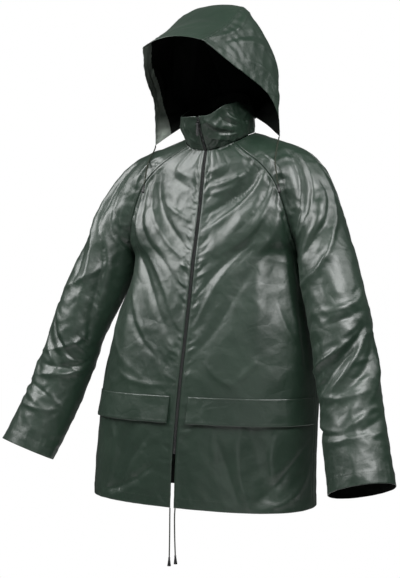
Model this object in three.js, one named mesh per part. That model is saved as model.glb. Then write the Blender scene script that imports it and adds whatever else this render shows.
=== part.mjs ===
// A hooded raincoat, worn and empty: raglan sleeves, a full-length zip with a vent below it,
// a tall stand collar, a peaked hood of three panels, two wide pocket flaps and four drawcord ends.
// Millimetres, +Z up, the front faces -Y, the wearer's left is +X.
// The origin lies in the neck opening, on the mid plane, level with the side neck points.
import * as THREE from "three";
import { mergeVertices } from "three/addons/utils/BufferGeometryUtils.js";

// Driving dimensions
const CLOTH = 1.2;
const SEAM = 0.6;
const FRONT_EDGE = 5;
const VENT_TOP_Z = -712;
const HEM_SWAY = 20;
const SWAY_TOP_Z = -285;
const HEM_Z = -828;
const CUFF_RISE = 14;
const COLLAR_SEAT_Z = 42;
const RAGLAN_ROWS = 7;
const FOLD_SEGMENTS = 9;

// How each body row leaves the centre and runs into its seam, as shares of its span
const START_SHARE = 0.4;
const RAGLAN_LEAD = 0.33;
const LEAD_SHARE = 0.62;
const SIDE_FULLNESS = 0.24;
const LEAD_TURN_FROM = 1.5;

// Neck ring: half-width, centre, half-depth, and its height as a sum of two cosines
const NECK = { half: 82, midY: 24, depth: 74, z: -6.5, z1: 24, z2: 9.5 };
const RAGLAN_FRONT_DEG = 47;
const RAGLAN_BACK_DEG = 133;
const COLLAR_TOP = { half: 75, midY: -2, depth: 89, z: 66, z1: 40, z2: -6 };
const COLLAR_ROWS = 6;
const COLLAR_COLUMNS = 40;
const COLLAR_SWELL = 5;

const NECK_TRIM = 0.012;
const RAGLAN_STEP_COUNT = 10;
const BODY_STEP_COUNT = 12;
const SLEEVE_STEP_COUNT = 13;
const FRONT_COLUMNS = 11;
const BACK_COLUMNS = 20;
const SLEEVE_COLUMNS = 20;
const HOOD_SIDE_ROWS = 8;
const HOOD_TOP_ROWS = 12;
const HOOD_CENTRE_COLUMNS = 8;
const HOOD_TRIM = 0.49;
const HOOD_BACK_TRIM = 0.637;
const HOOD_SEAT_GAP = 1.05;

const GREEN = { color: 0x2c3a31, roughness: 0.38, metalness: 0 };
const GREEN_DEEP = { color: 0x26332b, roughness: 0.42, metalness: 0 };
const CORD_GREEN = { color: 0x3a4430, roughness: 0.8, metalness: 0 };
const BLACK_PLASTIC = { color: 0x15181a, roughness: 0.45, metalness: 0 };

// Sleeve stations from the neck to the cuff. a: the outermost point. m: the point midway between the
// two raglan edges, then the underarm seam. reach: half the angle that the cloth goes round, degrees.
// by, bz: the half axis towards the front.
const SLEEVE = [
  { ax: 82, ay: 20, az: 3, mx: 60, my: 24, mz: -6, reach: 55, by: -61.6, bz: -19.9 },
  { ax: 135, ay: 20, az: -14, mx: 101, my: 20, mz: -38, reach: 65, by: -68, bz: -15 },
  { ax: 182, ay: 18, az: -29, mx: 138, my: 21, mz: -72, reach: 75, by: -70, bz: -9 },
  { ax: 225, ay: 14, az: -51, mx: 167, my: 21, mz: -112, reach: 88, by: -71, bz: -5 },
  { ax: 263, ay: 8, az: -92, mx: 186, my: 19, mz: -157, reach: 103, by: -70, bz: -2 },
  { ax: 290, ay: 2, az: -140, mx: 198, my: 16, mz: -204, reach: 122, by: -72, bz: 2 },
  { ax: 311, ay: -9, az: -190, mx: 204, my: 12, mz: -247, reach: 148, by: -74, bz: 4 },
  { ax: 329, ay: -20, az: -238, mx: 206, my: 8, mz: -279, reach: 180, by: -74, bz: 6 },
  { ax: 354, ay: -36, az: -298, mx: 224, my: -22, mz: -342, reach: 180, by: -72, bz: 8 },
  { ax: 392, ay: -64, az: -412, mx: 264, my: -66, mz: -452, reach: 180, by: -66, bz: 9 },
  { ax: 412, ay: -80, az: -500, mx: 282, my: -88, mz: -528, reach: 180, by: -62, bz: 14 },
  { ax: 431, ay: -98, az: -578, mx: 302, my: -108, mz: -604, reach: 180, by: -58, bz: 20 },
  { ax: 455, ay: -130, az: -654, mx: 323, my: -143, mz: -688, reach: 180, by: -55, bz: 20 },
  { ax: 478, ay: -158, az: -724, mx: 344, my: -172, mz: -758, reach: 180, by: -52, bz: 18 },
];

// Body stations, the first eight level with the raglan seam and the rest down to the hem.
// zipY, zipZ: the front edge. backY, backZ: the centre back. sideX, sideY, sideZ: the side seam.
const BODY = [
  { zipY: -50, zipZ: -40, backY: 98, backZ: 8, sideX: 60, sideY: 24, sideZ: -6 },
  { zipY: -60, zipZ: -72, backY: 113, backZ: -26, sideX: 101, sideY: 20, sideZ: -38 },
  { zipY: -67, zipZ: -106, backY: 126, backZ: -64, sideX: 138, sideY: 21, sideZ: -72 },
  { zipY: -74, zipZ: -142, backY: 134, backZ: -106, sideX: 167, sideY: 21, sideZ: -112 },
  { zipY: -82, zipZ: -180, backY: 139, backZ: -150, sideX: 186, sideY: 19, sideZ: -157 },
  { zipY: -92, zipZ: -218, backY: 142, backZ: -196, sideX: 198, sideY: 16, sideZ: -204 },
  { zipY: -102, zipZ: -256, backY: 143, backZ: -240, sideX: 204, sideY: 12, sideZ: -247 },
  { zipY: -110, zipZ: -286, backY: 142, backZ: -279, sideX: 206, sideY: 8, sideZ: -279 },
  { zipY: -121, zipZ: -345, backY: 138, backZ: -345, sideX: 217, sideY: 2, sideZ: -345 },
  { zipY: -138, zipZ: -455, backY: 128, backZ: -455, sideX: 248, sideY: -6, sideZ: -455 },
  { zipY: -151, zipZ: -545, backY: 120, backZ: -545, sideX: 262, sideY: -14, sideZ: -545 },
  { zipY: -160, zipZ: -640, backY: 114, backZ: -640, sideX: 266, sideY: -20, sideZ: -640 },
  { zipY: -167, zipZ: -735, backY: 110, backZ: -735, sideX: 268, sideY: -26, sideZ: -735 },
  { zipY: -170, zipZ: -828, backY: 108, backZ: -828, sideX: 270, sideY: -30, sideZ: -828 },
];
const HEM_STATION = BODY.length - 1;

// Hood centre panel from the peak over the crown to the collar: its edge and its middle
const HOOD_CENTRE = [
  { x: 74, y: -203, z: 170, cy: -215, cz: 184 },
  { x: 80, y: -100, z: 224, cy: -104, cz: 240 },
  { x: 72, y: 4, z: 286, cy: 6, cz: 300 },
  { x: 62, y: 88, z: 216, cy: 99, cz: 226 },
  { x: 55, y: 134, z: 140, cy: 146, cz: 142 },
  { x: 50, y: 142, z: 80, cy: 152, cz: 78 },
  { x: 50, y: 134, z: 67, cy: 143, cz: 64 },
  { x: 49, y: 121, z: 56, cy: 130, cz: 53 },
  { x: 47, y: 106, z: 48, cy: 113, cz: 46 },
];
const HOOD_BACK_STATION = 5;

// Hood side panel: three points down each station between the centre panel and the lower edge
const HOOD_SIDE = [
  { x1: 112, y1: -130, z1: 126, x2: 143, y2: -40, z2: 84, x3: 158, y3: -6, z3: 38 },
  { x1: 116, y1: -66, z1: 188, x2: 142, y2: -8, z2: 128, x3: 151, y3: 18, z3: 66 },
  { x1: 104, y1: 18, z1: 240, x2: 133, y2: 40, z2: 168, x3: 130, y3: 46, z3: 94 },
  { x1: 86, y1: 76, z1: 184, x2: 108, y2: 78, z2: 136, x3: 106, y3: 78, z3: 86 },
  { x1: 70, y1: 120, z1: 122, x2: 84, y2: 108, z2: 98, x3: 84, y3: 96, z3: 70 },
];
const HOOD_CORNER = new THREE.Vector3(160, -2, -13);
const HOOD_LOWER = new THREE.Vector3(122, 18, 17);
const HOOD_SEATS_DEG = [105, 120, 135, 148];

// The largest folds: where each starts and ends on its panel (station, share across), width, height
const FRONT_FOLDS = {
  left: [
    { r0: 1.2, t0: 0.95, r1: 4.6, t1: 0.1, width: 20, height: -7 },
    { r0: 2.2, t0: 0.95, r1: 6.6, t1: 0.12, width: 24, height: 7 },
    { r0: 5.5, t0: 0.55, r1: 9.2, t1: 0.5, width: 26, height: 5 },
    { r0: 10.9, t0: 0.45, r1: 12.8, t1: 0.62, width: 24, height: -6 },
  ],
  right: [
    { r0: 1.4, t0: 0.9, r1: 6.2, t1: 0.12, width: 20, height: -7 },
    { r0: 2.6, t0: 0.85, r1: 8.4, t1: 0.14, width: 24, height: 7 },
    { r0: 5.6, t0: 0.7, r1: 10, t1: 0.45, width: 24, height: 6 },
    { r0: 11, t0: 0.3, r1: 12.8, t1: 0.5, width: 24, height: -5 },
  ],
};
const BACK_FOLDS = [
  { r0: 2, t0: 0.12, r1: 7, t1: 0.36, width: 26, height: 6 },
  { r0: 2, t0: 0.88, r1: 7, t1: 0.64, width: 26, height: 6 },
  { r0: 7.5, t0: 0.06, r1: 10.5, t1: 0.3, width: 24, height: -6 },
  { r0: 7.5, t0: 0.94, r1: 10.5, t1: 0.7, width: 24, height: -6 },
  { r0: 9, t0: 0.46, r1: 12.8, t1: 0.42, width: 28, height: 5 },
];
const SLEEVE_FOLDS = [
  { r0: 2.6, t0: 0.3, r1: 6.6, t1: 0.14, width: 17, height: -8 },
  { r0: 4.6, t0: 0.4, r1: 8.4, t1: 0.1, width: 20, height: 7 },
  { r0: 8.9, t0: 0.5, r1: 10.6, t1: 0.14, width: 18, height: -7 },
  { r0: 9.4, t0: 0.62, r1: 11.6, t1: 0.24, width: 18, height: 6 },
  { r0: 8.8, t0: 0.7, r1: 10.8, t1: 0.9, width: 20, height: -6 },
  { r0: 5.4, t0: 0.72, r1: 7.6, t1: 0.93, width: 20, height: 6 },
];

// Pocket flap: its stations and margins on the front panel, its lift off it and the lower edge's flare
const FLAP = { top: 10.45, bottom: 11.06, from: 22, to: 12, thick: 1.6, lift: 0.8, flare: 3.5, columns: 11 };

// The zip: tapes behind the fronts, the coil between them, the slider near the collar's top, its pull
const ZIP_TOP_SHARE = 0.97;
const ZIP_STEPS = 22;
const TAPE = { reach: 8.5, inner: -3.7, outer: -2.6 };
const COIL = { half: 3, inner: -2.3, outer: 0.6 };
const SLIDER = { share: 0.78, wide: 9, tall: 11, inner: 0.9, outer: 4.2, corner: 2, facets: 3 };
const PULL = { wide: 6, tall: 27, thick: 1.6, knuckle: 1.3, gap: 0.35, facets: 10 };

// Drawcord ends: each follows its own points and ends in a flared plastic end
const CORD_RADIUS = 1.5;
const CORD_SIDES = 8;
const CORD_STEP = 7.5;
const END = { gap: 0.3, top: 2.2, bottom: 4, tall: 19, waist: 0.35, sides: 12 };
const CORDS = [
  {
    name: "hood_cord_right",
    points: [[-159.3, -2.4, -13.9], [-158, -10, -25], [-154, -46, -60], [-152, -60, -88], [-152, -68, -112]],
  },
  {
    name: "hood_cord_left",
    points: [[159.3, -2.4, -13.9], [160.5, -10, -25], [170, -48, -70], [179, -62, -100], [186, -68, -126]],
  },
  {
    name: "hem_cord_right",
    points: [[-26.5, -168, -829], [-26.2, -169, -850], [-26.6, -169, -890], [-27.6, -169, -936]],
  },
  {
    name: "hem_cord_left",
    points: [[-13.8, -168, -829], [-14.4, -169, -850], [-14, -169, -890], [-12.6, -169, -930]],
  },
];

const V = (x, y, z) => new THREE.Vector3(x, y, z);
const radians = THREE.MathUtils.degToRad;
const clamp = THREE.MathUtils.clamp;
const lerp = THREE.MathUtils.lerp;

// A table's row at a fractional station, by a Catmull-Rom curve through its columns
function stationAt(table, r) {
  const last = table.length - 1;
  const i = clamp(Math.floor(r), 0, last - 1);
  const f = r - i;
  const p = table[Math.max(i - 1, 0)];
  const a = table[i];
  const b = table[i + 1];
  const q = table[Math.min(i + 2, last)];
  const out = {};
  for (const key of Object.keys(a)) {
    const start = 0.5 * (b[key] - p[key]);
    const end = 0.5 * (q[key] - a[key]);
    const rise = b[key] - a[key];
    const square = 3 * rise - 2 * start - end;
    const cube = start + end - 2 * rise;
    out[key] = a[key] + f * (start + f * (square + f * cube));
  }
  return out;
}

// A closed ring round the neck at an angle from the front, degrees, on the wearer's left
function ringAt(ring, degrees) {
  const angle = radians(degrees);
  const height = ring.z - ring.z1 * Math.cos(angle) - ring.z2 * Math.cos(2 * angle);
  return V(ring.half * Math.sin(angle), ring.midY - ring.depth * Math.cos(angle), height);
}

// The sleeve's surface: t runs from the front edge over the outside to the back edge
function sleeveCurve(r) {
  const s = stationAt(SLEEVE, r);
  const reach = radians(clamp(s.reach, 1, 180));
  const apex = V(s.ax, s.ay, s.az);
  const outward = apex.clone().sub(V(s.mx, s.my, s.mz)).divideScalar(1 - Math.cos(reach));
  const centre = apex.clone().sub(outward);
  const front = V(0, s.by, s.bz);
  return { reach, centre, outward, front };
}

function sleevePoint(r, t) {
  const { reach, centre, outward, front } = sleeveCurve(r);
  const angle = reach * (1 - 2 * t);
  const p = centre.clone().addScaledVector(outward, Math.cos(angle)).addScaledVector(front, Math.sin(angle));
  if (r >= 1) return p;
  const neck = ringAt(NECK, lerp(RAGLAN_FRONT_DEG, RAGLAN_BACK_DEG, t));
  return neck.lerp(p, r);
}

// The direction in which a panel's row runs on into the sleeve, at the front or back edge
function sleeveEntry(r, side) {
  const { reach, outward, front } = sleeveCurve(r);
  const angle = Math.min(reach, Math.PI / 2);
  const along = outward.clone().multiplyScalar(Math.sin(angle));
  return along.addScaledVector(front, -side * Math.cos(angle)).normalize();
}

function bezier(p0, p1, p2, p3, t) {
  return new THREE.CubicBezierCurve3(p0, p1, p2, p3).getPoint(t);
}

// Half of the body from the centre (t = 0) to the raglan or side seam (t = 1): side 1 front, -1 back
function bodyPoint(r, t, side) {
  const s = stationAt(BODY, r);
  const start = side > 0 ? V(0, s.zipY, s.zipZ) : V(0, s.backY, s.backZ);
  const onSleeve = r < RAGLAN_ROWS;
  const end = onSleeve ? sleevePoint(r, side > 0 ? 0 : 1) : V(s.sideX, s.sideY, s.sideZ);
  const span = start.distanceTo(end);
  const lead = end.clone();
  if (onSleeve) {
    const entry = sleeveEntry(r, side);
    const turn = THREE.MathUtils.smoothstep(r, LEAD_TURN_FROM, RAGLAN_ROWS);
    entry.lerp(V(0, side, 0), turn).normalize();
    const reach = lerp(RAGLAN_LEAD * span, LEAD_SHARE * Math.abs(start.y - end.y), turn);
    lead.addScaledVector(entry, -reach);
  } else {
    const share = LEAD_SHARE + SIDE_FULLNESS * THREE.MathUtils.smoothstep(r, RAGLAN_ROWS, RAGLAN_ROWS + 2);
    lead.y += share * (start.y - end.y);
  }
  const p = bezier(start, start.clone().add(V(START_SHARE * span, 0, 0)), lead, end, t);
  if (r >= 1) return p;
  const degrees = side > 0 ? t * RAGLAN_FRONT_DEG : 180 - t * (180 - RAGLAN_BACK_DEG);
  return ringAt(NECK, degrees).lerp(p, r);
}

function distanceToSegment(p, a, b) {
  const along = b.clone().sub(a);
  const share = clamp(p.clone().sub(a).dot(along) / along.lengthSq(), 0, 1);
  return { gap: p.distanceTo(a.clone().addScaledVector(along, share)), share };
}

// Normals of a grid from its neighbours, outward where the grid runs down and round as its maker says
function gridNormals(grid, flip) {
  const rows = grid.length;
  const columns = grid[0].length;
  return grid.map((row, i) =>
    row.map((_, j) => {
      const down = grid[Math.min(i + 1, rows - 1)][j].clone().sub(grid[Math.max(i - 1, 0)][j]);
      const across = grid[i][Math.min(j + 1, columns - 1)].clone().sub(grid[i][Math.max(j - 1, 0)]);
      return down.cross(across).normalize().multiplyScalar(flip ? -1 : 1);
    }),
  );
}

// Soft ridges and troughs: each fold follows the surface between its two ends and fades there
function raiseFolds(grid, flip, folds, at) {
  const normals = gridNormals(grid, flip);
  const lines = folds.map((fold) => {
    const points = [];
    for (let i = 0; i <= FOLD_SEGMENTS; i++) {
      const share = i / FOLD_SEGMENTS;
      points.push(at(lerp(fold.r0, fold.r1, share), lerp(fold.t0, fold.t1, share)));
    }
    return { fold, points };
  });
  return grid.map((row, i) =>
    row.map((p, j) => {
      let rise = 0;
      for (const { fold, points } of lines) {
        let best = { gap: Infinity, along: 0 };
        for (let k = 0; k + 1 < points.length; k++) {
          const { gap, share } = distanceToSegment(p, points[k], points[k + 1]);
          if (gap < best.gap) best = { gap, along: (k + share) / FOLD_SEGMENTS };
        }
        const fade = Math.sin(Math.PI * clamp(0.1 + 0.8 * best.along, 0, 1));
        rise += fold.height * fade * Math.exp(-((best.gap / fold.width) ** 2));
      }
      const edge = clamp((Math.min(j, row.length - 1 - j) - 1) / 2, 0, 1);
      return p.clone().addScaledVector(normals[i][j], rise * edge);
    }),
  );
}

// The figure's stance: the hem sways to the wearer's right
function sway(p) {
  const share = clamp((SWAY_TOP_Z - p.z) / (SWAY_TOP_Z - HEM_Z), 0, 1);
  return V(p.x - HEM_SWAY * share * share * (3 - 2 * share), p.y, p.z);
}

const mirrored = (p, side) => V(p.x * side, p.y, p.z);

// A closed solid from an open grid: the outer face, the inner face one cloth below it, and the rim.
// From row joinFrom on, the last column is the first one. flip turns the outer face round.
function wall(grid, { thickness = CLOTH, flip = false, joinFrom = Infinity } = {}) {
  const columns = grid[0].length;
  const index = [];
  const outer = [];
  grid.forEach((row, i) => {
    index.push([]);
    row.forEach((p, j) => {
      const joined = j === columns - 1 && i >= joinFrom;
      index[i][j] = joined ? index[i][0] : outer.push(p) - 1;
    });
  });
  const faces = [];
  const addFace = (a, b, c) => {
    if (a === b || b === c || a === c) return;
    faces.push(flip ? [a, c, b] : [a, b, c]);
  };
  for (let i = 0; i + 1 < grid.length; i++) {
    for (let j = 0; j + 1 < columns; j++) {
      const [a, b, c, d] = [index[i][j], index[i + 1][j], index[i + 1][j + 1], index[i][j + 1]];
      addFace(a, b, c);
      addFace(a, c, d);
    }
  }
  return thicken(outer, faces, thickness);
}

function thicken(outer, faces, thickness) {
  const normals = outer.map(() => V(0, 0, 0));
  const edges = new Map();
  for (const [a, b, c] of faces) {
    const n = outer[b].clone().sub(outer[a]).cross(outer[c].clone().sub(outer[a])).normalize();
    for (const i of [a, b, c]) normals[i].add(n);
    for (const [p, q] of [[a, b], [b, c], [c, a]]) edges.set(p + "," + q, [p, q]);
  }
  const count = outer.length;
  const inner = outer.map((p, i) => p.clone().addScaledVector(normals[i].normalize(), -thickness));
  const triangles = [];
  for (const [a, b, c] of faces) triangles.push(a, b, c, a + count, c + count, b + count);
  for (const [p, q] of edges.values()) {
    if (edges.has(q + "," + p)) continue;
    triangles.push(p, p + count, q + count, p, q + count, q);
  }
  const geometry = new THREE.BufferGeometry();
  const positions = [...outer, ...inner].flatMap((p) => [p.x, p.y, p.z]);
  geometry.setAttribute("position", new THREE.Float32BufferAttribute(positions, 3));
  geometry.setIndex(triangles);
  return geometry;
}

function piece(name, geometry, finish) {
  geometry.computeVertexNormals();
  const mesh = new THREE.Mesh(geometry, new THREE.MeshStandardMaterial(finish));
  mesh.name = name;
  return mesh;
}

// Even steps from start to end, both included
function steps(start, end, count) {
  return Array.from({ length: count + 1 }, (_, i) => lerp(start, end, i / count));
}

// Shares across a row with half a seam's gap left at each end that asks for it
function acrossRow(at, r, columns, fromGap, toGap) {
  const length = at(r, 0).distanceTo(at(r, 1));
  return steps(fromGap / length, 1 - toGap / length, columns);
}

const RAGLAN_STEPS = steps(NECK_TRIM, RAGLAN_ROWS, RAGLAN_STEP_COUNT);
const BODY_REST = steps(RAGLAN_ROWS, HEM_STATION, BODY_STEP_COUNT).slice(1);
const BODY_STEPS = [...RAGLAN_STEPS, ...BODY_REST];
const SLEEVE_REST = steps(RAGLAN_ROWS, SLEEVE.length - 1, SLEEVE_STEP_COUNT).slice(1);
const SLEEVE_STEPS = [...RAGLAN_STEPS, ...SLEEVE_REST];

function frontPanel(side, name) {
  const at = (r, t) => bodyPoint(r, t, 1);
  const grid = BODY_STEPS.map((r) =>
    acrossRow(at, r, FRONT_COLUMNS, FRONT_EDGE, SEAM / 2).map((t) => at(r, t)),
  );
  const folded = raiseFolds(grid, false, FRONT_FOLDS[name], at);
  return wall(
    folded.map((row) => row.map((p) => sway(mirrored(p, side)))),
    { flip: side < 0 },
  );
}

function backPanel() {
  const at = (r, t) => mirrored(bodyPoint(r, Math.abs(1 - 2 * t), -1), t < 0.5 ? 1 : -1);
  const grid = BODY_STEPS.map((r) => {
    const trim = SEAM / 4 / at(r, 0.5).distanceTo(at(r, 0));
    return steps(trim, 1 - trim, BACK_COLUMNS).map((t) => at(r, t));
  });
  return wall(raiseFolds(grid, false, BACK_FOLDS, at).map((row) => row.map(sway)));
}

function sleeve(side) {
  const grid = SLEEVE_STEPS.map((r) => {
    if (r >= RAGLAN_ROWS) return steps(0, 1, SLEEVE_COLUMNS).map((t) => sleevePoint(r, t));
    const trim = SEAM / 2 / sleevePoint(r, 0).distanceTo(sleevePoint(r, 0.5)) / 2;
    return steps(trim, 1 - trim, SLEEVE_COLUMNS).map((t) => sleevePoint(r, t));
  });
  const folded = raiseFolds(grid, false, SLEEVE_FOLDS, sleevePoint);
  const posed = folded.map((row, i) => {
    const share = clamp((SLEEVE_STEPS[i] - RAGLAN_ROWS) / (SLEEVE.length - 1 - RAGLAN_ROWS), 0, 1);
    return row.map((p) => mirrored(V(p.x, p.y, p.z - side * CUFF_RISE * share * share), side));
  });
  return wall(posed, { flip: side < 0, joinFrom: SLEEVE_STEPS.indexOf(RAGLAN_ROWS) });
}

// The collar: from the neck ring, a little above it, to its own top edge
function collarPoint(degrees, share) {
  const foot = ringAt(NECK, degrees);
  foot.z += SEAM;
  const head = ringAt(COLLAR_TOP, degrees);
  const p = foot.lerp(head, share);
  const swell = COLLAR_SWELL * Math.sin(Math.PI * share);
  const angle = radians(degrees);
  return p.add(V(Math.sin(angle) * swell, -Math.cos(angle) * swell, 0));
}

function collar() {
  const trim = THREE.MathUtils.radToDeg(FRONT_EDGE / NECK.half);
  const grid = steps(1, 0, COLLAR_ROWS).map((share) =>
    steps(trim, 360 - trim, COLLAR_COLUMNS).map((degrees) => collarPoint(degrees, share)),
  );
  return wall(grid);
}

// The value between low and high at which a rising measure meets its target
function meet(low, high, target, measure) {
  let below = low;
  let above = high;
  while (above - below > 1e-4) {
    const middle = (below + above) / 2;
    if (measure(middle) < target) below = middle;
    else above = middle;
  }
  return below;
}

// A point moved out from the collar's outer face, at an angle from the front and a height
function offCollar(degrees, z, away) {
  const p = collarPoint(degrees, meet(0, 1, z, (share) => collarPoint(degrees, share).z));
  const angle = radians(degrees);
  return p.add(V(Math.sin(angle) * away, -Math.cos(angle) * away, 0));
}

// Where the hood is sewn on round the back of the collar
const hoodSeat = (degrees) => offCollar(degrees, COLLAR_SEAT_Z, HOOD_SEAT_GAP);

// A hood point, pushed out where it would lie in the collar
function clearOfCollar(p, away = CLOTH + SEAM) {
  const share = clamp((p.z - NECK.z) / (COLLAR_TOP.z - NECK.z), 0, 1);
  const midY = lerp(NECK.midY, COLLAR_TOP.midY, share);
  const half = lerp(NECK.half, COLLAR_TOP.half, share);
  const depth = lerp(NECK.depth, COLLAR_TOP.depth, share);
  const degrees = THREE.MathUtils.radToDeg(Math.atan2(p.x / half, (midY - p.y) / depth));
  if (p.z > collarPoint(degrees, 1).z + SEAM) return p;
  const face = offCollar(degrees, p.z, away);
  const outward = V(Math.sin(radians(degrees)), -Math.cos(radians(degrees)), 0);
  const short = face.clone().sub(p).dot(outward);
  return short > 0 ? p.clone().addScaledVector(outward, short) : p;
}

function hoodCentreStations() {
  const edge = hoodSeat(HOOD_SEATS_DEG[HOOD_SEATS_DEG.length - 1]);
  const middle = hoodSeat(180);
  return [...HOOD_CENTRE, { x: edge.x, y: edge.y, z: edge.z, cy: middle.y, cz: middle.z }];
}

function hoodCentrePoint(table, r, u) {
  const s = stationAt(table, r);
  const square = u * u;
  return V(s.x * u, lerp(s.cy, s.y, square), lerp(s.cz, s.z, square));
}

function hoodCentre() {
  const table = hoodCentreStations();
  const toCollar = steps(HOOD_BACK_STATION, table.length - 1, HOOD_SIDE_ROWS);
  const rows = [...steps(0, HOOD_BACK_STATION, HOOD_TOP_ROWS), ...toCollar.slice(1)];
  const grid = rows.map((r) => {
    const reach = 1 - HOOD_TRIM / stationAt(table, r).x;
    const away = r === table.length - 1 ? HOOD_SEAT_GAP : CLOTH + SEAM;
    const shares = steps(reach, -reach, HOOD_CENTRE_COLUMNS);
    return shares.map((u) => clearOfCollar(hoodCentrePoint(table, r, u), away));
  });
  return wall(grid);
}

// Stations of the side panel, each a curve down from the centre panel's edge to the lower edge
function hoodSideCurves() {
  const table = hoodCentreStations();
  const ends = [HOOD_CORNER, HOOD_LOWER, ...HOOD_SEATS_DEG.slice(0, 3).map(hoodSeat)];
  const curves = HOOD_SIDE.map((s, i) => [
    V(HOOD_CENTRE[i].x, HOOD_CENTRE[i].y, HOOD_CENTRE[i].z),
    V(s.x1, s.y1, s.z1),
    V(s.x2, s.y2, s.z2),
    V(s.x3, s.y3, s.z3),
    ends[i],
  ]);
  const toCollar = steps(HOOD_BACK_STATION, table.length - 1, HOOD_SIDE_ROWS);
  const back = toCollar.map((r) => stationAt(table, r)).map((s) => V(s.x, s.y, s.z));
  return [...curves, back];
}

function hoodSidePoint(curves, r, w) {
  const rows = curves.map((points) => {
    const table = points.map((p) => ({ x: p.x, y: p.y, z: p.z }));
    return stationAt(table, w * (points.length - 1));
  });
  const p = stationAt(rows, r);
  return V(p.x, p.y, p.z);
}

function hoodSide(side) {
  const curves = hoodSideCurves();
  const last = curves.length - 1;
  const columns = steps(0, last, HOOD_TOP_ROWS);
  const grid = steps(0, 1, HOOD_SIDE_ROWS).map((share) =>
    columns.map((r, j) => {
      const length = hoodSidePoint(curves, r, 0).distanceTo(hoodSidePoint(curves, r, 1));
      const p = hoodSidePoint(curves, r, lerp(HOOD_TRIM / length, 1, share));
      if (j === columns.length - 1) p.x += HOOD_BACK_TRIM;
      const away = share === 1 ? HOOD_SEAT_GAP : CLOTH + SEAM;
      return mirrored(clearOfCollar(p, away), side);
    }),
  );
  return wall(grid, { flip: side < 0 });
}

// Pocket flap: the front panel's own points, moved out, from its upper seam to its free lower edge

function flap(side, name) {
  const at = (r, t) => bodyPoint(r, t, 1);
  const rows = steps(FLAP.top, FLAP.bottom, 3);
  const grid = rows.map((r) =>
    acrossRow(at, r, FLAP.columns, FLAP.from, FLAP.to).map((t) => at(r, t)),
  );
  const normals = gridNormals(grid, false);
  const folded = raiseFolds(grid, false, FRONT_FOLDS[name], at);
  const lifted = folded.map((row, i) =>
    row.map((p, j) => {
      const away = FLAP.lift + FLAP.thick + (FLAP.flare * i) / (rows.length - 1);
      return sway(mirrored(p.clone().addScaledVector(normals[i][j], away), side));
    }),
  );
  return wall(lifted, { thickness: FLAP.thick, flip: side < 0 });
}

// The front line from the hem end of the zip up to the collar's top, and its outward direction
function frontLine() {
  const line = [];
  const ventStation = meet(RAGLAN_ROWS, HEM_STATION, -VENT_TOP_Z, (r) => -stationAt(BODY, r).zipZ);
  for (const r of steps(ventStation, 0, ZIP_STEPS)) {
    line.push(sway(bodyPoint(r, 0, 1)));
  }
  for (const share of steps(0, 1, COLLAR_ROWS).slice(1)) {
    line.push(collarPoint(0, Math.min(share, ZIP_TOP_SHARE)));
  }
  return line;
}

// A strip of box section along the front line: x0..x1 across, n0..n1 outward from the cloth's face
function strip(line, x0, x1, n0, n1) {
  const rings = line.map((p, i) => {
    const along = line[Math.min(i + 1, line.length - 1)].clone().sub(line[Math.max(i - 1, 0)]);
    const out = V(0, -along.z, along.y).normalize();
    return [[x0, n0], [x1, n0], [x1, n1], [x0, n1]].map(([x, n]) =>
      p.clone().add(V(x, 0, 0)).addScaledVector(out, n),
    );
  });
  const positions = rings.flat().flatMap((p) => [p.x, p.y, p.z]);
  const triangles = [0, 1, 2, 0, 2, 3];
  for (let i = 0; i + 1 < rings.length; i++) {
    for (let k = 0; k < 4; k++) {
      const a = 4 * i + k;
      const b = 4 * i + ((k + 1) % 4);
      triangles.push(a, a + 4, b + 4, a, b + 4, b);
    }
  }
  const top = 4 * (rings.length - 1);
  triangles.push(top, top + 2, top + 1, top, top + 3, top + 2);
  const geometry = new THREE.BufferGeometry();
  geometry.setAttribute("position", new THREE.Float32BufferAttribute(positions, 3));
  geometry.setIndex(triangles);
  return geometry;
}

function sliderPlace() {
  const p = collarPoint(0, SLIDER.share);
  const along = collarPoint(0, SLIDER.share + 0.1).sub(collarPoint(0, SLIDER.share - 0.1));
  return { p, lean: Math.atan2(-along.y, along.z) };
}

function roundedBox(wide, tall, deep, corner) {
  const shape = new THREE.Shape();
  const x = wide / 2;
  const y = tall / 2;
  shape.moveTo(-x + corner, -y);
  shape.lineTo(x - corner, -y);
  shape.absarc(x - corner, -y + corner, corner, -Math.PI / 2, 0);
  shape.lineTo(x, y - corner);
  shape.absarc(x - corner, y - corner, corner, 0, Math.PI / 2);
  shape.lineTo(-x + corner, y);
  shape.absarc(-x + corner, y - corner, corner, Math.PI / 2, Math.PI);
  shape.lineTo(-x, -y + corner);
  shape.absarc(-x + corner, -y + corner, corner, Math.PI, 1.5 * Math.PI);
  return { shape, options: { depth: deep, bevelEnabled: false, curveSegments: SLIDER.facets } };
}

function closed(geometry) {
  const bare = geometry.clone();
  bare.deleteAttribute("normal");
  bare.deleteAttribute("uv");
  return mergeVertices(bare, 1e-4);
}

function slider() {
  const { shape, options } = roundedBox(SLIDER.wide, SLIDER.tall, SLIDER.outer - SLIDER.inner, SLIDER.corner);
  const geometry = closed(new THREE.ExtrudeGeometry(shape, options));
  const { p, lean } = sliderPlace();
  const mesh = piece("zip_slider", geometry, BLACK_PLASTIC);
  mesh.position.copy(p).add(V(0, -Math.cos(lean) * SLIDER.inner, -Math.sin(lean) * SLIDER.inner));
  mesh.rotation.set(Math.PI / 2 + lean, 0, 0);
  return mesh;
}

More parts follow.
